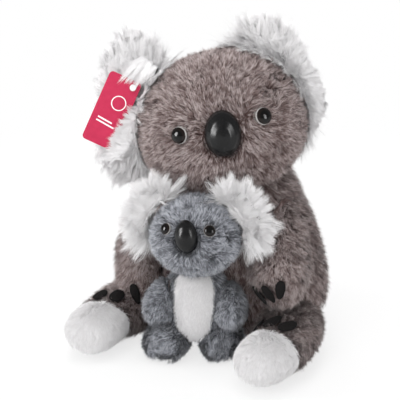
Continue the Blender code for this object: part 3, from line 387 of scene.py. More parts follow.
def blade_piece(name, spines, sides, outward, width, look, tone):
    """One mesh of many blades; spines is (blades, levels, 3), its last level is each blade's tip."""
    count, levels, _ = spines.shape
    grow = np.linspace(0, 1, levels)
    taper = (1 - grow ** 2.2)[:-1]
    half = sides[:, None, :] * (width[:, None] * taper[None, :] / 2)[:, :, None]
    left, right = spines[:, :-1] - half, spines[:, :-1] + half
    rows = np.stack([left, right], axis=2).reshape(count, 2 * (levels - 1), 3)
    points = np.concatenate([rows, spines[:, -1:]], axis=1)
    points[:, :, 2] = np.maximum(points[:, :, 2], LOWEST_HAIR)
    each = points.shape[1]
    loops, sizes = [], []
    for row in range(levels - 2):
        low = 2 * row
        loops += [low, low + 1, low + 3, low + 2]
        sizes.append(4)
    loops += [each - 3, each - 2, each - 1]
    sizes.append(3)
    all_loops = (np.arange(count)[:, None] * each + np.array(loops)[None, :]).ravel()
    all_sizes = np.tile(sizes, count)
    mesh = bpy.data.meshes.new(name)
    mesh.vertices.add(count * each)
    mesh.vertices.foreach_set("co", points.ravel().astype(np.float32))
    mesh.loops.add(len(all_loops))
    mesh.loops.foreach_set("vertex_index", all_loops.astype(np.int32))
    mesh.polygons.add(len(all_sizes))
    mesh.polygons.foreach_set("loop_start", np.concatenate([[0], np.cumsum(all_sizes)[:-1]]).astype(np.int32))
    mesh.update(calc_edges=True)

    # Two numbers for the shader: how far along the blade, and the blade's own tone, which on her face also
    # carries painted shade
    level_share = np.append(np.repeat(grow[:-1], 2), 1.0)
    along = mesh.attributes.new("along", "FLOAT", "POINT")
    along.data.foreach_set("value", np.tile(level_share, count).astype(np.float32))
    tones = mesh.attributes.new("tone", "FLOAT", "POINT")
    tones.data.foreach_set("value", np.repeat(tone, each).astype(np.float32))

    # Each blade has a small square of the map to itself
    across = math.ceil(math.sqrt(count))
    cells = np.stack([np.arange(count) % across, np.arange(count) // across], axis=1)
    spot = np.stack([np.append(np.tile([0.15, 0.85], levels - 1), 0.5), 0.12 + 0.76 * level_share], axis=1)
    spread = (cells[:, None, :] + spot[None, :, :]) / across
    layer = mesh.uv_layers.new(name="OFBake")
    layer.data.foreach_set("uv", spread.reshape(-1, 2)[all_loops].ravel().astype(np.float32))

    # Light falls on the pile as on the form under it, a little broken by each blade
    facing = unit(np.cross(sides, spines[:, -1] - spines[:, 0]))
    shading = unit(outward * 0.8 + facing * 0.45)
    mesh.normals_split_custom_set_from_vertices(np.repeat(shading, each, axis=0).tolist())
    mesh.materials.append(LOOKS[look])
    return linked(name, mesh)


print("blades stay", LOWEST_HAIR, "m above the floor")

# %% [markdown]
# ## Room for the tag
# The card hangs in front of the ear. Its three own ways, along, across and out of its face, are found from
# its points, so that hair behind it can be cut short before it would grow through.

# %% Hair that would cross the tag
tag_points = np.array([vertex.co for vertex in nodes["hang_tag"].data.vertices])
tag_ways = np.linalg.svd(tag_points - tag_points.mean(0), full_matrices=False)[2]
tag_ways[0] *= np.sign(tag_ways[0][2])
tag_ways[1] *= np.sign(tag_ways[1][0])
tag_ways[2] *= -np.sign(tag_ways[2][1])
tag_middle = tag_points.mean(0)
tag_half = np.abs((tag_points - tag_middle) @ tag_ways.T).max(0)
print("tag", tag_middle.round(3), tag_half.round(4))


def behind_tag(roots, tips, room=0.0015):
    """How much of each hair may grow before it meets the card: 1 where it never does."""
    start, end = (roots - tag_middle) @ tag_ways.T, (tips - tag_middle) @ tag_ways.T
    step = end - start
    meets = (-room - start[:, 2]) / np.where(np.abs(step[:, 2]) < 1e-7, 1e-7, step[:, 2])
    spot = start[:, :2] + step[:, :2] * meets[:, None]
    over = np.all(np.abs(spot) < tag_half[:2] + 0.001, axis=1) & (meets > 0) & (meets < 1) & (start[:, 2] < 0)
    return np.where(over, np.clip(meets, 0.15, 1), 1)


# %% [markdown]
# ## A coat
# One function grows every coat, so that all pile follows the same few rules. Lengths are in metres. A blade
# stands by stand and lies along its comb by lay. Blades share locks, a lock pulls its blades to one tip, and
# ruffle turns whole locks. The random numbers start from a seed, so that each run gives the same coat.

# %% A coat
MOST_TRIANGLES = 190000
HAIR_OVER_BOX = 0.0155
HAIR_TOP = cad_box[1][2] + HAIR_OVER_BOX
LEAST_ROOM = 0.12
TIP_ROOM = 0.0035
UNDERSIDE_TOP = 0.004
UNDERSIDE_FACING = -0.55
PRESSED_LENGTH = 0.006
WANDER_SIZE = 0.022
ROOT_SUNK = 0.0006
print("most triangles in a piece", MOST_TRIANGLES, "highest hair", round(HAIR_TOP, 4))


def locks_of(places, lock):
    """How many locks of about lock blades there are, and which one each blade belongs to."""
    count = max(4, len(places) // lock)
    tree = KDTree(count)
    for k in range(count):
        tree.insert(places[k], k)
    tree.balance()
    return count, np.array([tree.find(place)[1] for place in places])


def coat(node, skin, look, name, count, length, width, comb, stand=0.7, lay=0.75, lock=5, pull=0.4,
         ruffle=0.35, levels=3, wander=0.8, near=0.001, hard=(), reach_round=0.007, start_share=0.15,
         soft=(), folds=(), tidy=None, uneven=0.25, over=(), only=None, hold=(0.4, 1.2), seed=1):
    """The pile of one form: blades that lean along comb, gathered in locks."""
    rng = np.random.default_rng(seed)
    places, ways = scatter(skin, count, rng)
    if only is not None:
        kept = only(places)
        places, ways = places[kept], ways[kept]
    lengths = length(places) if callable(length) else np.full(len(places), length)
    room = room_round(places, hard, reach_round)
    clear = (room > LEAST_ROOM) & ~((places[:, 2] < UNDERSIDE_TOP) & (ways[:, 2] < UNDERSIDE_FACING))
    places, ways, lengths, room = places[clear], ways[clear], lengths[clear], room[clear]
    reach = places + ways * (insets[node] + near)
    pressed = np.zeros(len(places), bool)
    sewn = np.zeros(len(places), bool)
    for other in soft:
        inside = swallowed(reach, other)
        if body_of[other] == body_of[node]:
            sewn |= inside
        else:
            pressed |= inside
    places, ways, lengths, room, pressed = [each[~sewn] for each in (places, ways, lengths, room, pressed)]
    lengths = lengths * (start_share + (1 - start_share) * room) * rng.uniform(0.75, 1.15, len(places))
    lengths[pressed] = np.minimum(lengths[pressed], PRESSED_LENGTH)
    flow = comb(places) + drift(places, WANDER_SIZE, rng) * wander
    flow = unit(flow - ways * (flow * ways).sum(1, keepdims=True))
    reached = places + unit(ways * stand + flow * lay) * lengths[:, None]
    lengths *= 0.35 + 0.65 * room_round(reached, hard, TIP_ROOM)

    # The blades of a lock share its length, its turn and its tip
    locks, mine = locks_of(places, lock)
    lengths *= 1 + (rng.random(locks)[mine] - 0.5) * uneven
    nudge = rng.normal(size=(locks, 3)) * ruffle
    upright = np.where(pressed, 0.10, stand)[:, None]
    lean = unit(ways * upright + flow * lay + nudge[mine] * 0.5 + rng.normal(size=(len(places), 3)) * 0.14)
    rising = (lean * ways).sum(1)
    lean += ways * (np.where(pressed, 0.05, np.maximum(rising, 0.12)) - rising)[:, None]
    lean = unit(lean)
    free = places + lean * lengths[:, None]
    shared = (places[:locks] + lean[:locks] * lengths[:locks, None])[mine]
    pulls = pull(places) if callable(pull) else pull
    held = (pulls * rng.uniform(*hold, len(places)))[:, None]
    gather = (shared - free) * held
    far = np.linalg.norm(shared - free, axis=1)[:, None]
    gather *= np.minimum(1.0, lengths[:, None] * 0.9 / np.maximum(far, 1e-6))
    gather[pressed] = 0
    if tidy is not None:
        keep = tidy(places, free + gather)[:, None]
        free, gather = places + (free - places) * keep, gather * keep
        lengths = lengths * keep[:, 0]
    over_top = (free + gather)[:, 2] - places[:, 2]
    under = np.clip((HAIR_TOP - places[:, 2]) / np.maximum(over_top, 1e-6), 0.1, 1)[:, None]
    free, gather = places + (free - places) * under, gather * under
    bulge = np.where(pressed, 0.0, 0.5)
    spines = []
    for level in range(levels):
        share = level / (levels - 1)
        rise = ways * (lengths * share * (1 - share) * bulge)[:, None]
        spines.append(places + (free - places) * share + gather * share ** 1.6 + rise)
    spines = np.stack(spines, axis=1)
    for other, room in over:
        for level in range(1, levels):
            spines[~pressed, level] = held_off(spines[~pressed, level], other, room * min(1, level / 2))
    spines[:, 0] -= ways * ROOT_SUNK
    sides = unit(np.cross(spines[:, -1] - spines[:, 0], ways))
    roll = rng.normal(size=len(places)) * 0.45
    sides = unit(sides * np.cos(roll)[:, None] + ways * np.sin(roll)[:, None])
    widths = width * rng.uniform(0.7, 1.3, len(places))
    tone = 0.5 + rng.normal(size=locks)[mine] * 0.24 + rng.normal(size=len(places)) * 0.16
    # On her face, painted shade along partings and creases is taken off each blade's tone
    tone = np.clip(tone, 0, 1) - painted_shade_of(places, folds)
    hand_in(name, node, spines, sides, ways, widths, look, tone)


def hand_in(name, node, spines, sides, ways, widths, look, tone):
    """The blades as one or more pieces that ride with their node."""
    triangles = len(spines) * (2 * spines.shape[1] - 3)
    made = math.ceil(triangles / MOST_TRIANGLES)
    for k in range(made):
        some = slice(k, None, made)
        piece = blade_piece(name if made == 1 else f"{name}_{k + 1}", spines[some], sides[some], ways[some],
                            widths[some], look, tone[some])
        node + "_finish"
        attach(piece, body_of[node])
    print(name, len(spines), "blades in", made)


def painted_shade_of(places, folds):
    """How much painted shade darkens the pile along a parting or crease; each line is two ends, a reach and a
    depth.
    """
    dark = np.zeros(len(places))
    for start, end, reach, depth in folds:
        start, end = np.array(start), np.array(end)
        along = np.clip(((places - start) @ (end - start)) / ((end - start) ** 2).sum(), 0, 1)
        far = np.linalg.norm(places - start - along[:, None] * (end - start), axis=1)
        dark = np.maximum(dark, depth * np.clip(1.3 - far / reach, 0, 1))
    return dark


# %% [markdown]
# ## Which way the pile lies
# On the body and limbs it hangs down and outwards, and on each head it sweeps back from the nose. A way could
# be painted on each form, but a short rule for each is easier to change. Painted shade darkens the face's pile
# along its partings and creases, and in one broad patch on a cheek, and is placed where the camera sees it.


# %% Combing
def middle(node):
    low, high = boxes[node]
    return (low + high) / 2


def comb_down(places):
    return np.tile([0.0, -0.15, -1.0], (len(places), 1))


def comb_from(centre, drop=0.0):
    def comb(places):
        return unit(places - centre) + np.array([0.0, 0.0, -drop])
    return comb


def comb_along(way):
    def comb(places):
        return np.tile(way, (len(places), 1))
    return comb


def seen_on(node, across, down):
    """Where the camera meets a node at a pixel of the photograph, which is 400 pixels wide."""
    turn = camera.rotation_euler.to_matrix()
    way = turn @ Vector(((across / 200 - 1) * SEEN_WIDTH / 2, (1 - down / 200) * SEEN_WIDTH / 2, -CAMERA_FAR))
    return trees[node].ray_cast(camera.location, way.normalized())[0]


# Painted shade along the partings and creases of her face, and one broad patch of painted shade on a cheek:
# two ends in the photograph's pixels, how far each reaches in metres, how dark
FACE_SHADE_PIXELS = [((266, 92), (263, 106), 0.0032, 0.9), ((269, 108), (271, 118), 0.0030, 0.5),
                 ((254, 134), (255, 144), 0.0028, 0.7), ((181, 112), (178, 124), 0.0028, 0.6),
                 ((180, 147), (180, 154), 0.0026, 0.5), ((228, 164), (229, 178), 0.0030, 0.7),
                 ((216, 74), (219, 86), 0.0026, 0.5), ((166, 160), (174, 172), 0.0030, 0.4),
                 ((282, 140), (262, 172), 0.0160, 0.16)]
FACE_SHADE_LINES = [(seen_on("mother_head", *start), seen_on("mother_head", *end), reach, depth)
              for start, end, reach, depth in FACE_SHADE_PIXELS]

mother_nose = middle("mother_nose")
baby_nose = middle("baby_nose")
print("noses", mother_nose.round(3), baby_nose.round(3))

# %% [markdown]
# ## The mother's coat
# Taupe pile, about eight millimetres long, over every stuffed form but her ears, and short white pile on her
# soles. Each form is coated on its own, as the real ones are cut and sewn from separate pieces of cloth, so
# that its pile moves with it.

# %% Mother's coat
mother_paws = [f"mother_{side}_paw_claw_{k}" for side in ("left", "right") for k in (1, 2, 3)]
mother_toes = [f"mother_{side}_foot_claw_{k}" for side in ("left", "right") for k in (1, 2, 3)]
soft_nodes = [name for name in nodes if name.startswith(("mother_", "baby_")) and not
              any(word in name for word in ("claw", "nose", "eye", "washer"))]


def others(node):
    """The soft forms whose boxes meet this one's."""
    low, high = boxes[node]
    found = []
    for other in soft_nodes:
        low_b, high_b = boxes[other]
        if other != node and np.all(low - 0.006 < high_b) and np.all(low_b < high + 0.006):
            found.append(other)
    return found


def furred(node, look, count, length, width, comb, inset=0.003, voxel=0.0024, **more):
    skin = skin_of(node, look, inset, voxel)
    coat(node, skin, look, node + "_pile", count, length, width, comb, soft=others(node), **more)
    return skin


furred("mother_torso", "taupe", 100000, 0.0085, 0.00034, comb_down, hard=mother_paws, seed=11)
mother_face = furred("mother_head", "taupe", 105000, 0.0078, 0.00032, comb_from(mother_nose, 0.45),
                     inset=0.0035, wander=1.7, ruffle=0.5, reach_round=0.004, start_share=0.5,
                     hard=["mother_nose", "mother_left_eye", "mother_right_eye"], folds=FACE_SHADE_LINES,
                     seed=12)
for side, turn in (("left", 1), ("right", -1)):
    furred(f"mother_{side}_arm", "taupe", 36000, 0.0085, 0.00034, comb_along([turn * 0.2, -0.4, -1.0]),
           hard=mother_paws, seed=20 + turn)
    furred(f"mother_{side}_leg", "taupe", 34000, 0.0085, 0.00034, comb_along([turn * 0.5, -0.6, -0.6]),
           hard=mother_toes + [f"mother_{side}_sole"], reach_round=0.005, start_share=0.45, seed=30 + turn,
           stand=0.55)
    furred(f"mother_{side}_sole", "white", 36000, 0.0050, 0.00028, comb_down, inset=0.0018, voxel=0.0018,
           hard=mother_toes, seed=40 + turn, stand=0.35, lay=0.9, lock=3, pull=0.2, ruffle=0.15, wander=0.25)

# %% [markdown]
# ## The mother's ears
# Long white hair stands out all round each ear pad, in spiky tufts at its rim. Its length changes from the
# middle of the pad to the rim, and it is longest towards one way, or at both ends of that way, because even
# hair would look like a brush.


# %% Mother's ears
def ear_coat(node, head, count, short, rim_long, far_long, way, seed, width=0.00028, inset=0.004,
             both_ends=False, lock=28, fringe=0.006, rise=0.0045, root_share=0.12, stand=0.38, ruffle=0.5,
             uneven=0.8, hold=(0.6, 1.1)):
    """Hair from the side where the ear is sewn on outwards, longest towards way."""
    centre = middle(node)
    half = (boxes[node][1] - boxes[node][0]).max() / 2
    root = centre + (middle(head) - centre) * root_share
    way = np.array(way) / np.linalg.norm(way)
    toward_head = (middle(head) - centre) / np.linalg.norm(middle(head) - centre)
    skin = skin_of(node, "white", inset, 0.002)

    def rim(places):
        return np.clip(np.linalg.norm(places - centre, axis=1) / half, 0, 1)

    def length(places):
        facing = (places - centre) @ way / half
        facing = np.clip(np.abs(facing) if both_ends else facing, 0, 1)
        inner = np.clip(unit(places - root) @ toward_head, 0, 1)
        grown = short + (rim_long - short) * rim(places) ** 2
        return grown + (far_long - rim_long) * facing ** 1.5 + fringe * inner

    def pull(places):
        return 0.15 + 0.85 * rim(places) ** 2

    coat(node, skin, "white", node + "_hair", count, length, width, comb_from(root), soft=others(node),
         stand=stand, lay=0.9, lock=lock, pull=pull, ruffle=ruffle, levels=4, wander=0.5, near=0.001 - inset,
         uneven=uneven, hold=hold, over=[(head, rise)],
         tidy=behind_tag if node == "mother_right_ear" else None, seed=seed)
    return skin


ear_coat("mother_left_ear", "mother_head", 66000, 0.008, 0.005, 0.026, (-0.62, -0.28, 0.72), 51, inset=0.005)
right_ear = ear_coat("mother_right_ear", "mother_head", 72000, 0.009, 0.013, 0.020, (0.0, 0.0, 1.0), 52,
                     both_ends=True)

# %% [markdown]
# ## Hair over the seam
# Where a real ear is sewn on, its long hair hides the seam and falls on over the head. Blades from the ear's
# pad alone leave a bare line there, so more of them start on the head beside the ear, and ride with the ear.


# %% Hair over the seam
def hair_over_head(ear, head, skin, count, reach, length, tidy, seed):
    """The ear's long hair where it falls over the seam and on over the head."""
    def beside(places):
        near = near_box(places, ear, reach)
        for k in np.nonzero(near)[0]:
            near[k] = trees[ear].find_nearest(Vector(places[k]))[3] < reach
        return near & (places[:, 1] < middle(ear)[1] + 0.004)

    coat(ear, skin, "white", ear + "_over_head", count, length, 0.00026, comb_from(middle(ear)), stand=0.3,
         lay=1.0, lock=16, pull=0.7, ruffle=0.5, levels=5, wander=0.5, uneven=1.1, over=[(head, 0.0035)],
         only=beside, tidy=tidy, seed=seed)


hair_over_head("mother_left_ear", "mother_head", mother_face, 150000, 0.010, 0.018, None, 55)
hair_over_head("mother_right_ear", "mother_head", mother_face, 150000, 0.010, 0.018, behind_tag, 56)

# %% [markdown]
# ## Tufts round the tag
# Some of the ear's hair falls round the card's edges and over its face. These blades are laid out in the
# card's own three ways, because there each step of the path round an edge is a plain number.


# %% Tufts round the tag
def tufts_over_tag(skin, count, edge_way, low, high, lock, reach, seed):
    """Hair that grows beside one edge of the card and falls round it, over its face."""
    rng = np.random.default_rng(seed)
    places, ways = scatter(skin, count, rng)
    start = (places - tag_middle) @ tag_ways.T
    edge = tag_half[edge_way] + 0.0015
    beside = (start[:, edge_way] > edge) & (start[:, edge_way] < edge + 0.011)
    beside &= (start[:, 1 - edge_way] > low) & (start[:, 1 - edge_way] < high) & (ways @ tag_ways[2] > 0.1)
    places, ways, start = places[beside], ways[beside], start[beside]
    locks, mine = locks_of(places, lock)

    # In the card's own ways: up it, across it, and out from its face
    onto = rng.uniform(reach * 0.2, reach, locks)[mine] * rng.uniform(0.55, 1.15, len(places))
    falls = rng.uniform(-0.014, 0.007, locks)[mine] + rng.normal(size=len(places)) * 0.0016
    lift = np.maximum(start[:, 2] + 0.0015, rng.uniform(0.0018, 0.004, locks)[mine])
    path = [start]
    for across, share, out in ((None, 0.30, 1.0), (0.45, 0.65, 1.1), (0.8, 0.85, 0.8), (1.0, 1.0, 0.5)):
        level = start.copy()
        level[:, 1 - edge_way] += falls * share
        if across is None:
            level[:, edge_way] = edge + (start[:, edge_way] - edge) * 0.4
        else:
            level[:, edge_way] = edge - onto * across
        level[:, 2] = np.maximum(lift * out, 0.0012)
        path.append(level)
    path = np.stack(path, axis=1)
    share = (np.arange(path.shape[1]) / (path.shape[1] - 1)) ** 1.6
    path += (path[:locks, -1][mine] - path[:, -1])[:, None, :] * share[None, :, None] * 0.65
    spines = tag_middle + path @ tag_ways
    outward = np.tile(tag_ways[2], (len(places), 1))
    sides = unit(np.cross(spines[:, -1] - spines[:, 1], outward))
    tone = np.clip(0.6 + rng.normal(size=locks)[mine] * 0.2 + rng.normal(size=len(places)) * 0.15, 0, 1)
    widths = 0.00028 * rng.uniform(0.7, 1.3, len(places))
    hand_in(f"mother_right_ear_tufts_{edge_way}", "mother_right_ear", spines, sides, outward, widths,
            "white", tone)


tufts_over_tag(right_ear, 60000, 1, -tag_half[0] + 0.004, tag_half[0] - 0.002, 14, 0.014, 53)
tufts_over_tag(right_ear, 110000, 0, 0.001, tag_half[1] + 0.012, 16, 0.028, 54)

# %% [markdown]
# ## The baby's coat
# The baby's pile is shorter and finer, blue-grey with pale tips, and its bib is white. It comes from the same
# functions as its mother's, with smaller numbers.

# %% Baby's coat
furred("baby_head", "grey", 52000, 0.0060, 0.00027, comb_from(baby_nose, 0.2), inset=0.002, voxel=0.0016,
       wander=1.5, ruffle=0.5, hard=["baby_nose", "baby_left_eye", "baby_right_eye"], reach_round=0.003,
       start_share=0.4, seed=61)
furred("baby_body", "grey", 24000, 0.0060, 0.00027, comb_down, inset=0.002, voxel=0.0016, seed=62)
for side, turn in (("left", 1), ("right", -1)):
    furred(f"baby_{side}_arm", "grey", 17000, 0.0060, 0.00027, comb_along([turn * 0.3, -0.4, -1.0]),
           inset=0.002, voxel=0.0014, seed=70 + turn)
    furred(f"baby_{side}_leg", "grey", 19000, 0.0060, 0.00027, comb_along([turn * 0.3, -1.0, -0.2]),
           inset=0.002, voxel=0.0014, seed=80 + turn)
    ear_coat(f"baby_{side}_ear", "baby_head", 28000, 0.008, 0.016, 0.021, (turn * 0.6, 0, -1), 90 + turn,
             width=0.00022, inset=0.0065, lock=60, fringe=0.003, rise=0.002, root_share=0.16, stand=0.28,
             ruffle=0.35, uneven=1.1, hold=(0.85, 1.05))
furred("baby_bib", "white", 16000, 0.0035, 0.00026, comb_down, inset=0.0002, voxel=0.0009, seed=63, lock=3,
       pull=0.25, ruffle=0.2, stand=0.6)

# %% [markdown]
# ## Noses and eyes
# They are moulded of glossy black plastic, and an eye has a pupil, an iris and a clear rim. A picture could
# be laid on it, but rings round the eye's own axis stay sharp at any size and need no picture. Low specular
# and a little roughness keep the highlights soft.

# %% Nose and eyes
NOSE_BLACK = ((0.3, (0.004, 0.004, 0.0045)), (0.8, (0.008, 0.008, 0.008)))
# From an eye's middle at 0 to its edge at 1: pupil, iris, a pale ring of painted light where the clear rim
# catches it, and dark edge
EYE_RINGS = ((0.56, (0.002, 0.0018, 0.0018)), (0.66, (0.008, 0.005, 0.004)), (0.86, (0.011, 0.007, 0.006)),
             (0.885, (0.008, 0.006, 0.006)), (0.91, (0.46, 0.44, 0.43)), (0.95, (0.46, 0.44, 0.43)),
             (0.975, (0.014, 0.010, 0.009)))

gloss = Finish("nose_plastic", Specular_IOR_Level=0.25)
gloss.set(Base_Color=gloss.ramp(gloss.noise(500, 3.0), NOSE_BLACK),
          Roughness=gloss.noise(900, 2.0) * 0.08 + 0.22)


def axis_of(node):
    """Where the axis of a turned piece lies and points."""
    points = np.array([vertex.co for vertex in nodes[node].data.vertices])
    centre = points.mean(0)
    spread, ways = np.linalg.eigh(np.cov((points - centre).T))
    odd = int(np.argmax([abs(spread[k] - np.delete(spread, k).mean()) for k in range(3)]))
    way = ways[:, odd]
    far = np.linalg.norm(np.cross(points - centre, way), axis=1).max()
    return centre, way, far


def eye_finish(node):
    """Black pupil, dark brown iris and a pale ring of painted light for the clear rim, as rings round the
    eye's axis.
    """
    centre, way, far = axis_of(node)
    finish = Finish(node + "_plastic", Specular_IOR_Level=0.25)
    outwards = finish.node("ShaderNodeVectorMath", {"operation": "SUBTRACT"},
                           {0: finish.places(), 1: tuple(centre)})
    across = finish.node("ShaderNodeVectorMath", {"operation": "CROSS_PRODUCT"}, {0: outwards, 1: tuple(way)})
    ring = finish.node("ShaderNodeVectorMath", {"operation": "LENGTH"}, {0: across}, "Value") / float(far)
    ring = ring + finish.noise(700, 2.0) * 0.01
    finish.set(Base_Color=finish.ramp(ring, EYE_RINGS), Roughness=finish.noise(900, 2.0) * 0.05 + 0.07)
    print(node, "radius", round(far * 1000, 2), "mm")
    return finish


eyes = {node: eye_finish(node) for node in nodes if node.endswith("_eye")}

# %% [markdown]
# ## Smooth noses and eyes
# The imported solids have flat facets, and gloss shows every one. Smooth shading alone would hide their edges,
# but the highlights would still bend at each. Remeshing a copy finely and softening it makes them run smooth,
# at the cost of rounding the form very slightly.

# %% Smooth noses and eyes
NOSE_SMOOTHING = (0.0004, 40)
EYE_SMOOTHING = (0.0003, 14)


def polished(node, voxel, passes):
    """A nose or eye again with even faces, so that its highlights run smooth."""
    piece = linked(node + "_polished", nodes[node].data.copy())
    remesh = piece.modifiers.new("even", "REMESH")
    remesh.mode = "VOXEL"
    remesh.voxel_size = voxel
    soften = piece.modifiers.new("soften", "SMOOTH")
    soften.factor = 0.5
    soften.iterations = passes
    applied(piece)
    piece.data.materials.clear()
    piece.data.materials.append(eyes[node].material if node in eyes else gloss.material)
    piece.data.shade_smooth()
    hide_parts(node)
    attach(piece, body_of[node])


for node in nodes:
    if node.endswith(("_eye", "_nose")):
        polished(node, *(NOSE_SMOOTHING if "nose" in node else EYE_SMOOTHING))

# %% [markdown]
# ## Felt, washers and pin
# The claws are black felt, matt and fuzzy, so fine noise bumps them. The washers inside the heads and the
# tag's pin are pale moulded plastic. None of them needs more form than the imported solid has.

# %% Felt, washers and pin
FELT_BLACK = ((0.3, (0.004, 0.0035, 0.0035)), (0.8, (0.020, 0.018, 0.018)))
WASHER_WHITE = ((0.3, (0.68, 0.68, 0.65)), (0.8, (0.78, 0.78, 0.75)))
PIN_WHITE = ((0.3, (0.74, 0.74, 0.74)), (0.8, (0.82, 0.82, 0.82)))

felt = Finish("black_felt", Roughness=0.95, Specular_IOR_Level=0.1)
felt.set(Base_Color=felt.ramp(felt.noise(1400, 4.0, 0.7), FELT_BLACK),
         Normal=felt.bump(felt.noise(2200, 4.0, 0.7), 0.0004))
washer = Finish("washer_plastic", Roughness=0.45)
washer.set(Base_Color=washer.ramp(washer.noise(300), WASHER_WHITE))
clear = Finish("pin_plastic", Roughness=0.25)
clear.set(Base_Color=clear.ramp(clear.noise(300), PIN_WHITE))
print("felt, washers and pin finished")

# %% [markdown]
# ## Tag
# A red card with two bars and a ring printed in white. The print is worked out from how far along and across
# the card a point lies, so it has sharp edges and needs no picture.

# %% Tag
CARD_RED = ((0.3, (0.47, 0.026, 0.075)), (0.8, (0.54, 0.034, 0.090)))
PRINT_WHITE = (0.88, 0.86, 0.86, 1)
# In metres from the card's middle: each bar's start and end across the card, then along it
BARS = ((-0.0095, 0.0060, -0.0200, -0.0188), (-0.0095, 0.0030, -0.0172, -0.0160))
RING_INNER = 0.0052
RING_OUTER = 0.0060

card = Finish("tag_card", Roughness=0.5, Specular_IOR_Level=0.12)


def card_place(way):
    """How far along one of the card's own ways a point lies, in metres from its middle."""
    outwards = card.node("ShaderNodeVectorMath", {"operation": "SUBTRACT"},
                         {0: card.places(), 1: tuple(tag_middle)})
    return card.node("ShaderNodeVectorMath", {"operation": "DOT_PRODUCT"},
                     {0: outwards, 1: tuple(way)}, "Value")


def within(value, low, high):
    return value.over(low) * (1 - value.over(high))


up_card, over_card = card_place(tag_ways[0]), card_place(tag_ways[1])
bars = [within(over_card, left, right) * within(up_card, low, high) for left, right, low, high in BARS]
printed = bars[0] + bars[1]
from_middle = (up_card * up_card + over_card * over_card) ** 0.5
printed = printed + within(from_middle, RING_INNER, RING_OUTER)
red = card.ramp(card.noise(160, 3.0), CARD_RED)
inked = card.node("ShaderNodeMix", {"data_type": "RGBA"}, {0: printed, 6: red, 7: PRINT_WHITE}, 2)
card.set(Base_Color=inked, Normal=card.bump(card.noise(1500, 2.0), 0.00005))
print("bars on the card", len(bars))

# %% [markdown]
# ## Finishes given out
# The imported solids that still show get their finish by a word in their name, so that each claw or washer
# doesn't need a line of its own.

# %% Finishes given out
for name, piece in nodes.items():
    choices = (("claw", felt), ("washer", washer), ("nose", gloss), ("hang_tag", card), ("tag_pin", clear),
               ("eye", eyes.get(name)))
    for word, finish in choices:
        if word in name:
            piece.data.materials.clear()
            piece.data.materials.append(finish.material)
            break
print("hard pieces finished")

# %% [markdown]
# ## Floor
# The toy stands on pale paper that runs out to white. More lamps could whiten the floor, but they would wash
# out the toy. So the floor mixes in an even white glow that only the camera and mirrored light see, less of
# it near the toy, where its soft shadow has to show.

# %% Floor
FLOOR_HALF = 8
FLOOR_DROP = 0.0002
SHADOW_REACH = 0.15
FADE_SPEED = 1.6
GLOW_NEAR = 0.74
GLOW_MORE = 0.26
GLOW_MIRRORED = 0.2

floor = linked("floor", bpy.data.meshes.new("floor"))
corners = [(-FLOOR_HALF, -FLOOR_HALF, 0), (FLOOR_HALF, -FLOOR_HALF, 0), (FLOOR_HALF, FLOOR_HALF, 0),
           (-FLOOR_HALF, FLOOR_HALF, 0)]
floor.data.from_pydata(corners, [], [(0, 1, 2, 3)])
floor.location.z = -FLOOR_DROP
paper = Finish("floor_paper", Roughness=0.9, Specular_IOR_Level=0.1)
paper.set(Base_Color=(0.90, 0.90, 0.90, 1.0))
rays = [paper.node("ShaderNodeLightPath", None, None, name) for name in ("Is Camera Ray", "Is Glossy Ray")]
glow = paper.tree.nodes.new("ShaderNodeEmission")
glow.inputs["Strength"].default_value = 1.0
mixed = paper.tree.nodes.new("ShaderNodeMixShader")
outwards = paper.node("ShaderNodeVectorMath", {"operation": "LENGTH"}, {0: paper.places()}, "Value")
fade = ((outwards - SHADOW_REACH) * FADE_SPEED).clamped() * GLOW_MORE + GLOW_NEAR
paper.plug(mixed.inputs["Fac"], rays[0] * fade + rays[1] * GLOW_MIRRORED)
paper.tree.links.new(paper.shader.outputs[0], mixed.inputs[1])
paper.tree.links.new(glow.outputs[0], mixed.inputs[2])
paper.tree.links.new(mixed.outputs[0], paper.tree.nodes["Material Output"].inputs["Surface"])
floor.data.materials.append(paper.material)
print("floor", 2 * FLOOR_HALF, "m wide")

# %% [markdown]
# ## Sky and lamps
# An even sky fills the shadows, and the camera sees it as plain white. Five large soft lamps stand round the
# toy and light the cloth. Two more, like windows, are only mirrored in noses and eyes. Kept apart like this,
# the highlights can be placed without a change of the light on the cloth.

# %% Sky and lamps
SKY_STRENGTH = 0.38
AIMED_HEIGHT = 0.1
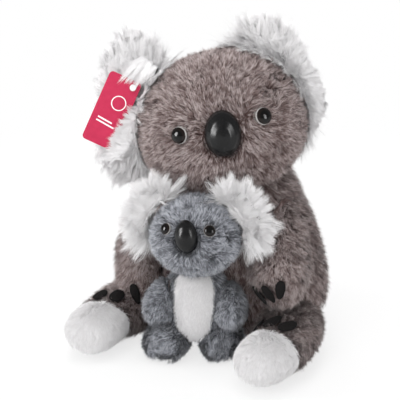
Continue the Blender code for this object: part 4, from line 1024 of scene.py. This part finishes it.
# Name, turn and rise in degrees, distance, width and height in metres, power in watts, mirrored or not
LAMPS = (("left", -58, 16, 1.4, (0.5, 0.8), 8, False), ("right", 60, 14, 1.5, (0.5, 0.8), 4.5, False),
         ("front", 10, 34, 1.5, (1.0, 0.8), 9, False), ("top", 10, 80, 1.4, (0.9, 0.9), 8, False),
         ("back", 200, 30, 1.5, (1.0, 0.8), 12, False),
         ("left_window", -36, 14, 1.4, (0.50, 0.9), 30, True),
         ("right_window", 74, 12, 1.5, (0.45, 0.9), 14, True))

world = bpy.data.worlds.new("sky")
bpy.context.scene.world = world
world.use_nodes = True
sky = world.node_tree
behind = sky.nodes["Background"]
behind.inputs["Color"].default_value = (1, 1, 1, 1)
seen = sky.nodes.new("ShaderNodeLightPath")
either = sky.nodes.new("ShaderNodeMath")
either.operation = "MAXIMUM"
sky.links.new(seen.outputs["Is Camera Ray"], either.inputs[0])
sky.links.new(seen.outputs["Is Transmission Ray"], either.inputs[1])
level = sky.nodes.new("ShaderNodeMapRange")
level.inputs["To Min"].default_value = SKY_STRENGTH
level.inputs["To Max"].default_value = 1.0
sky.links.new(either.outputs[0], level.inputs["Value"])
sky.links.new(level.outputs[0], behind.inputs["Strength"])


def lamp(name, turn, rise, far, size, power, mirrored):
    """A lamp that faces the toy, turn degrees round from straight ahead."""
    turn, rise = math.radians(turn), math.radians(rise)
    place = Vector((math.sin(turn) * math.cos(rise), -math.cos(turn) * math.cos(rise), math.sin(rise))) * far
    made = linked(name, bpy.data.lights.new(name, "AREA"))
    made.data.shape = "RECTANGLE"
    made.data.size, made.data.size_y = size
    made.data.energy = power
    made.location = place + Vector((0, 0, AIMED_HEIGHT))
    made.rotation_euler = (-place).to_track_quat("-Z", "Y").to_euler()
    made.visible_glossy = mirrored
    made.visible_diffuse = not mirrored


for row in LAMPS:
    lamp(*row)
print("lamps", len(LAMPS))

# %% [markdown]
# ## Last settings
# The Standard view keeps colours as they are written.

# %% Last settings
bpy.context.scene.view_settings.view_transform = "Standard"
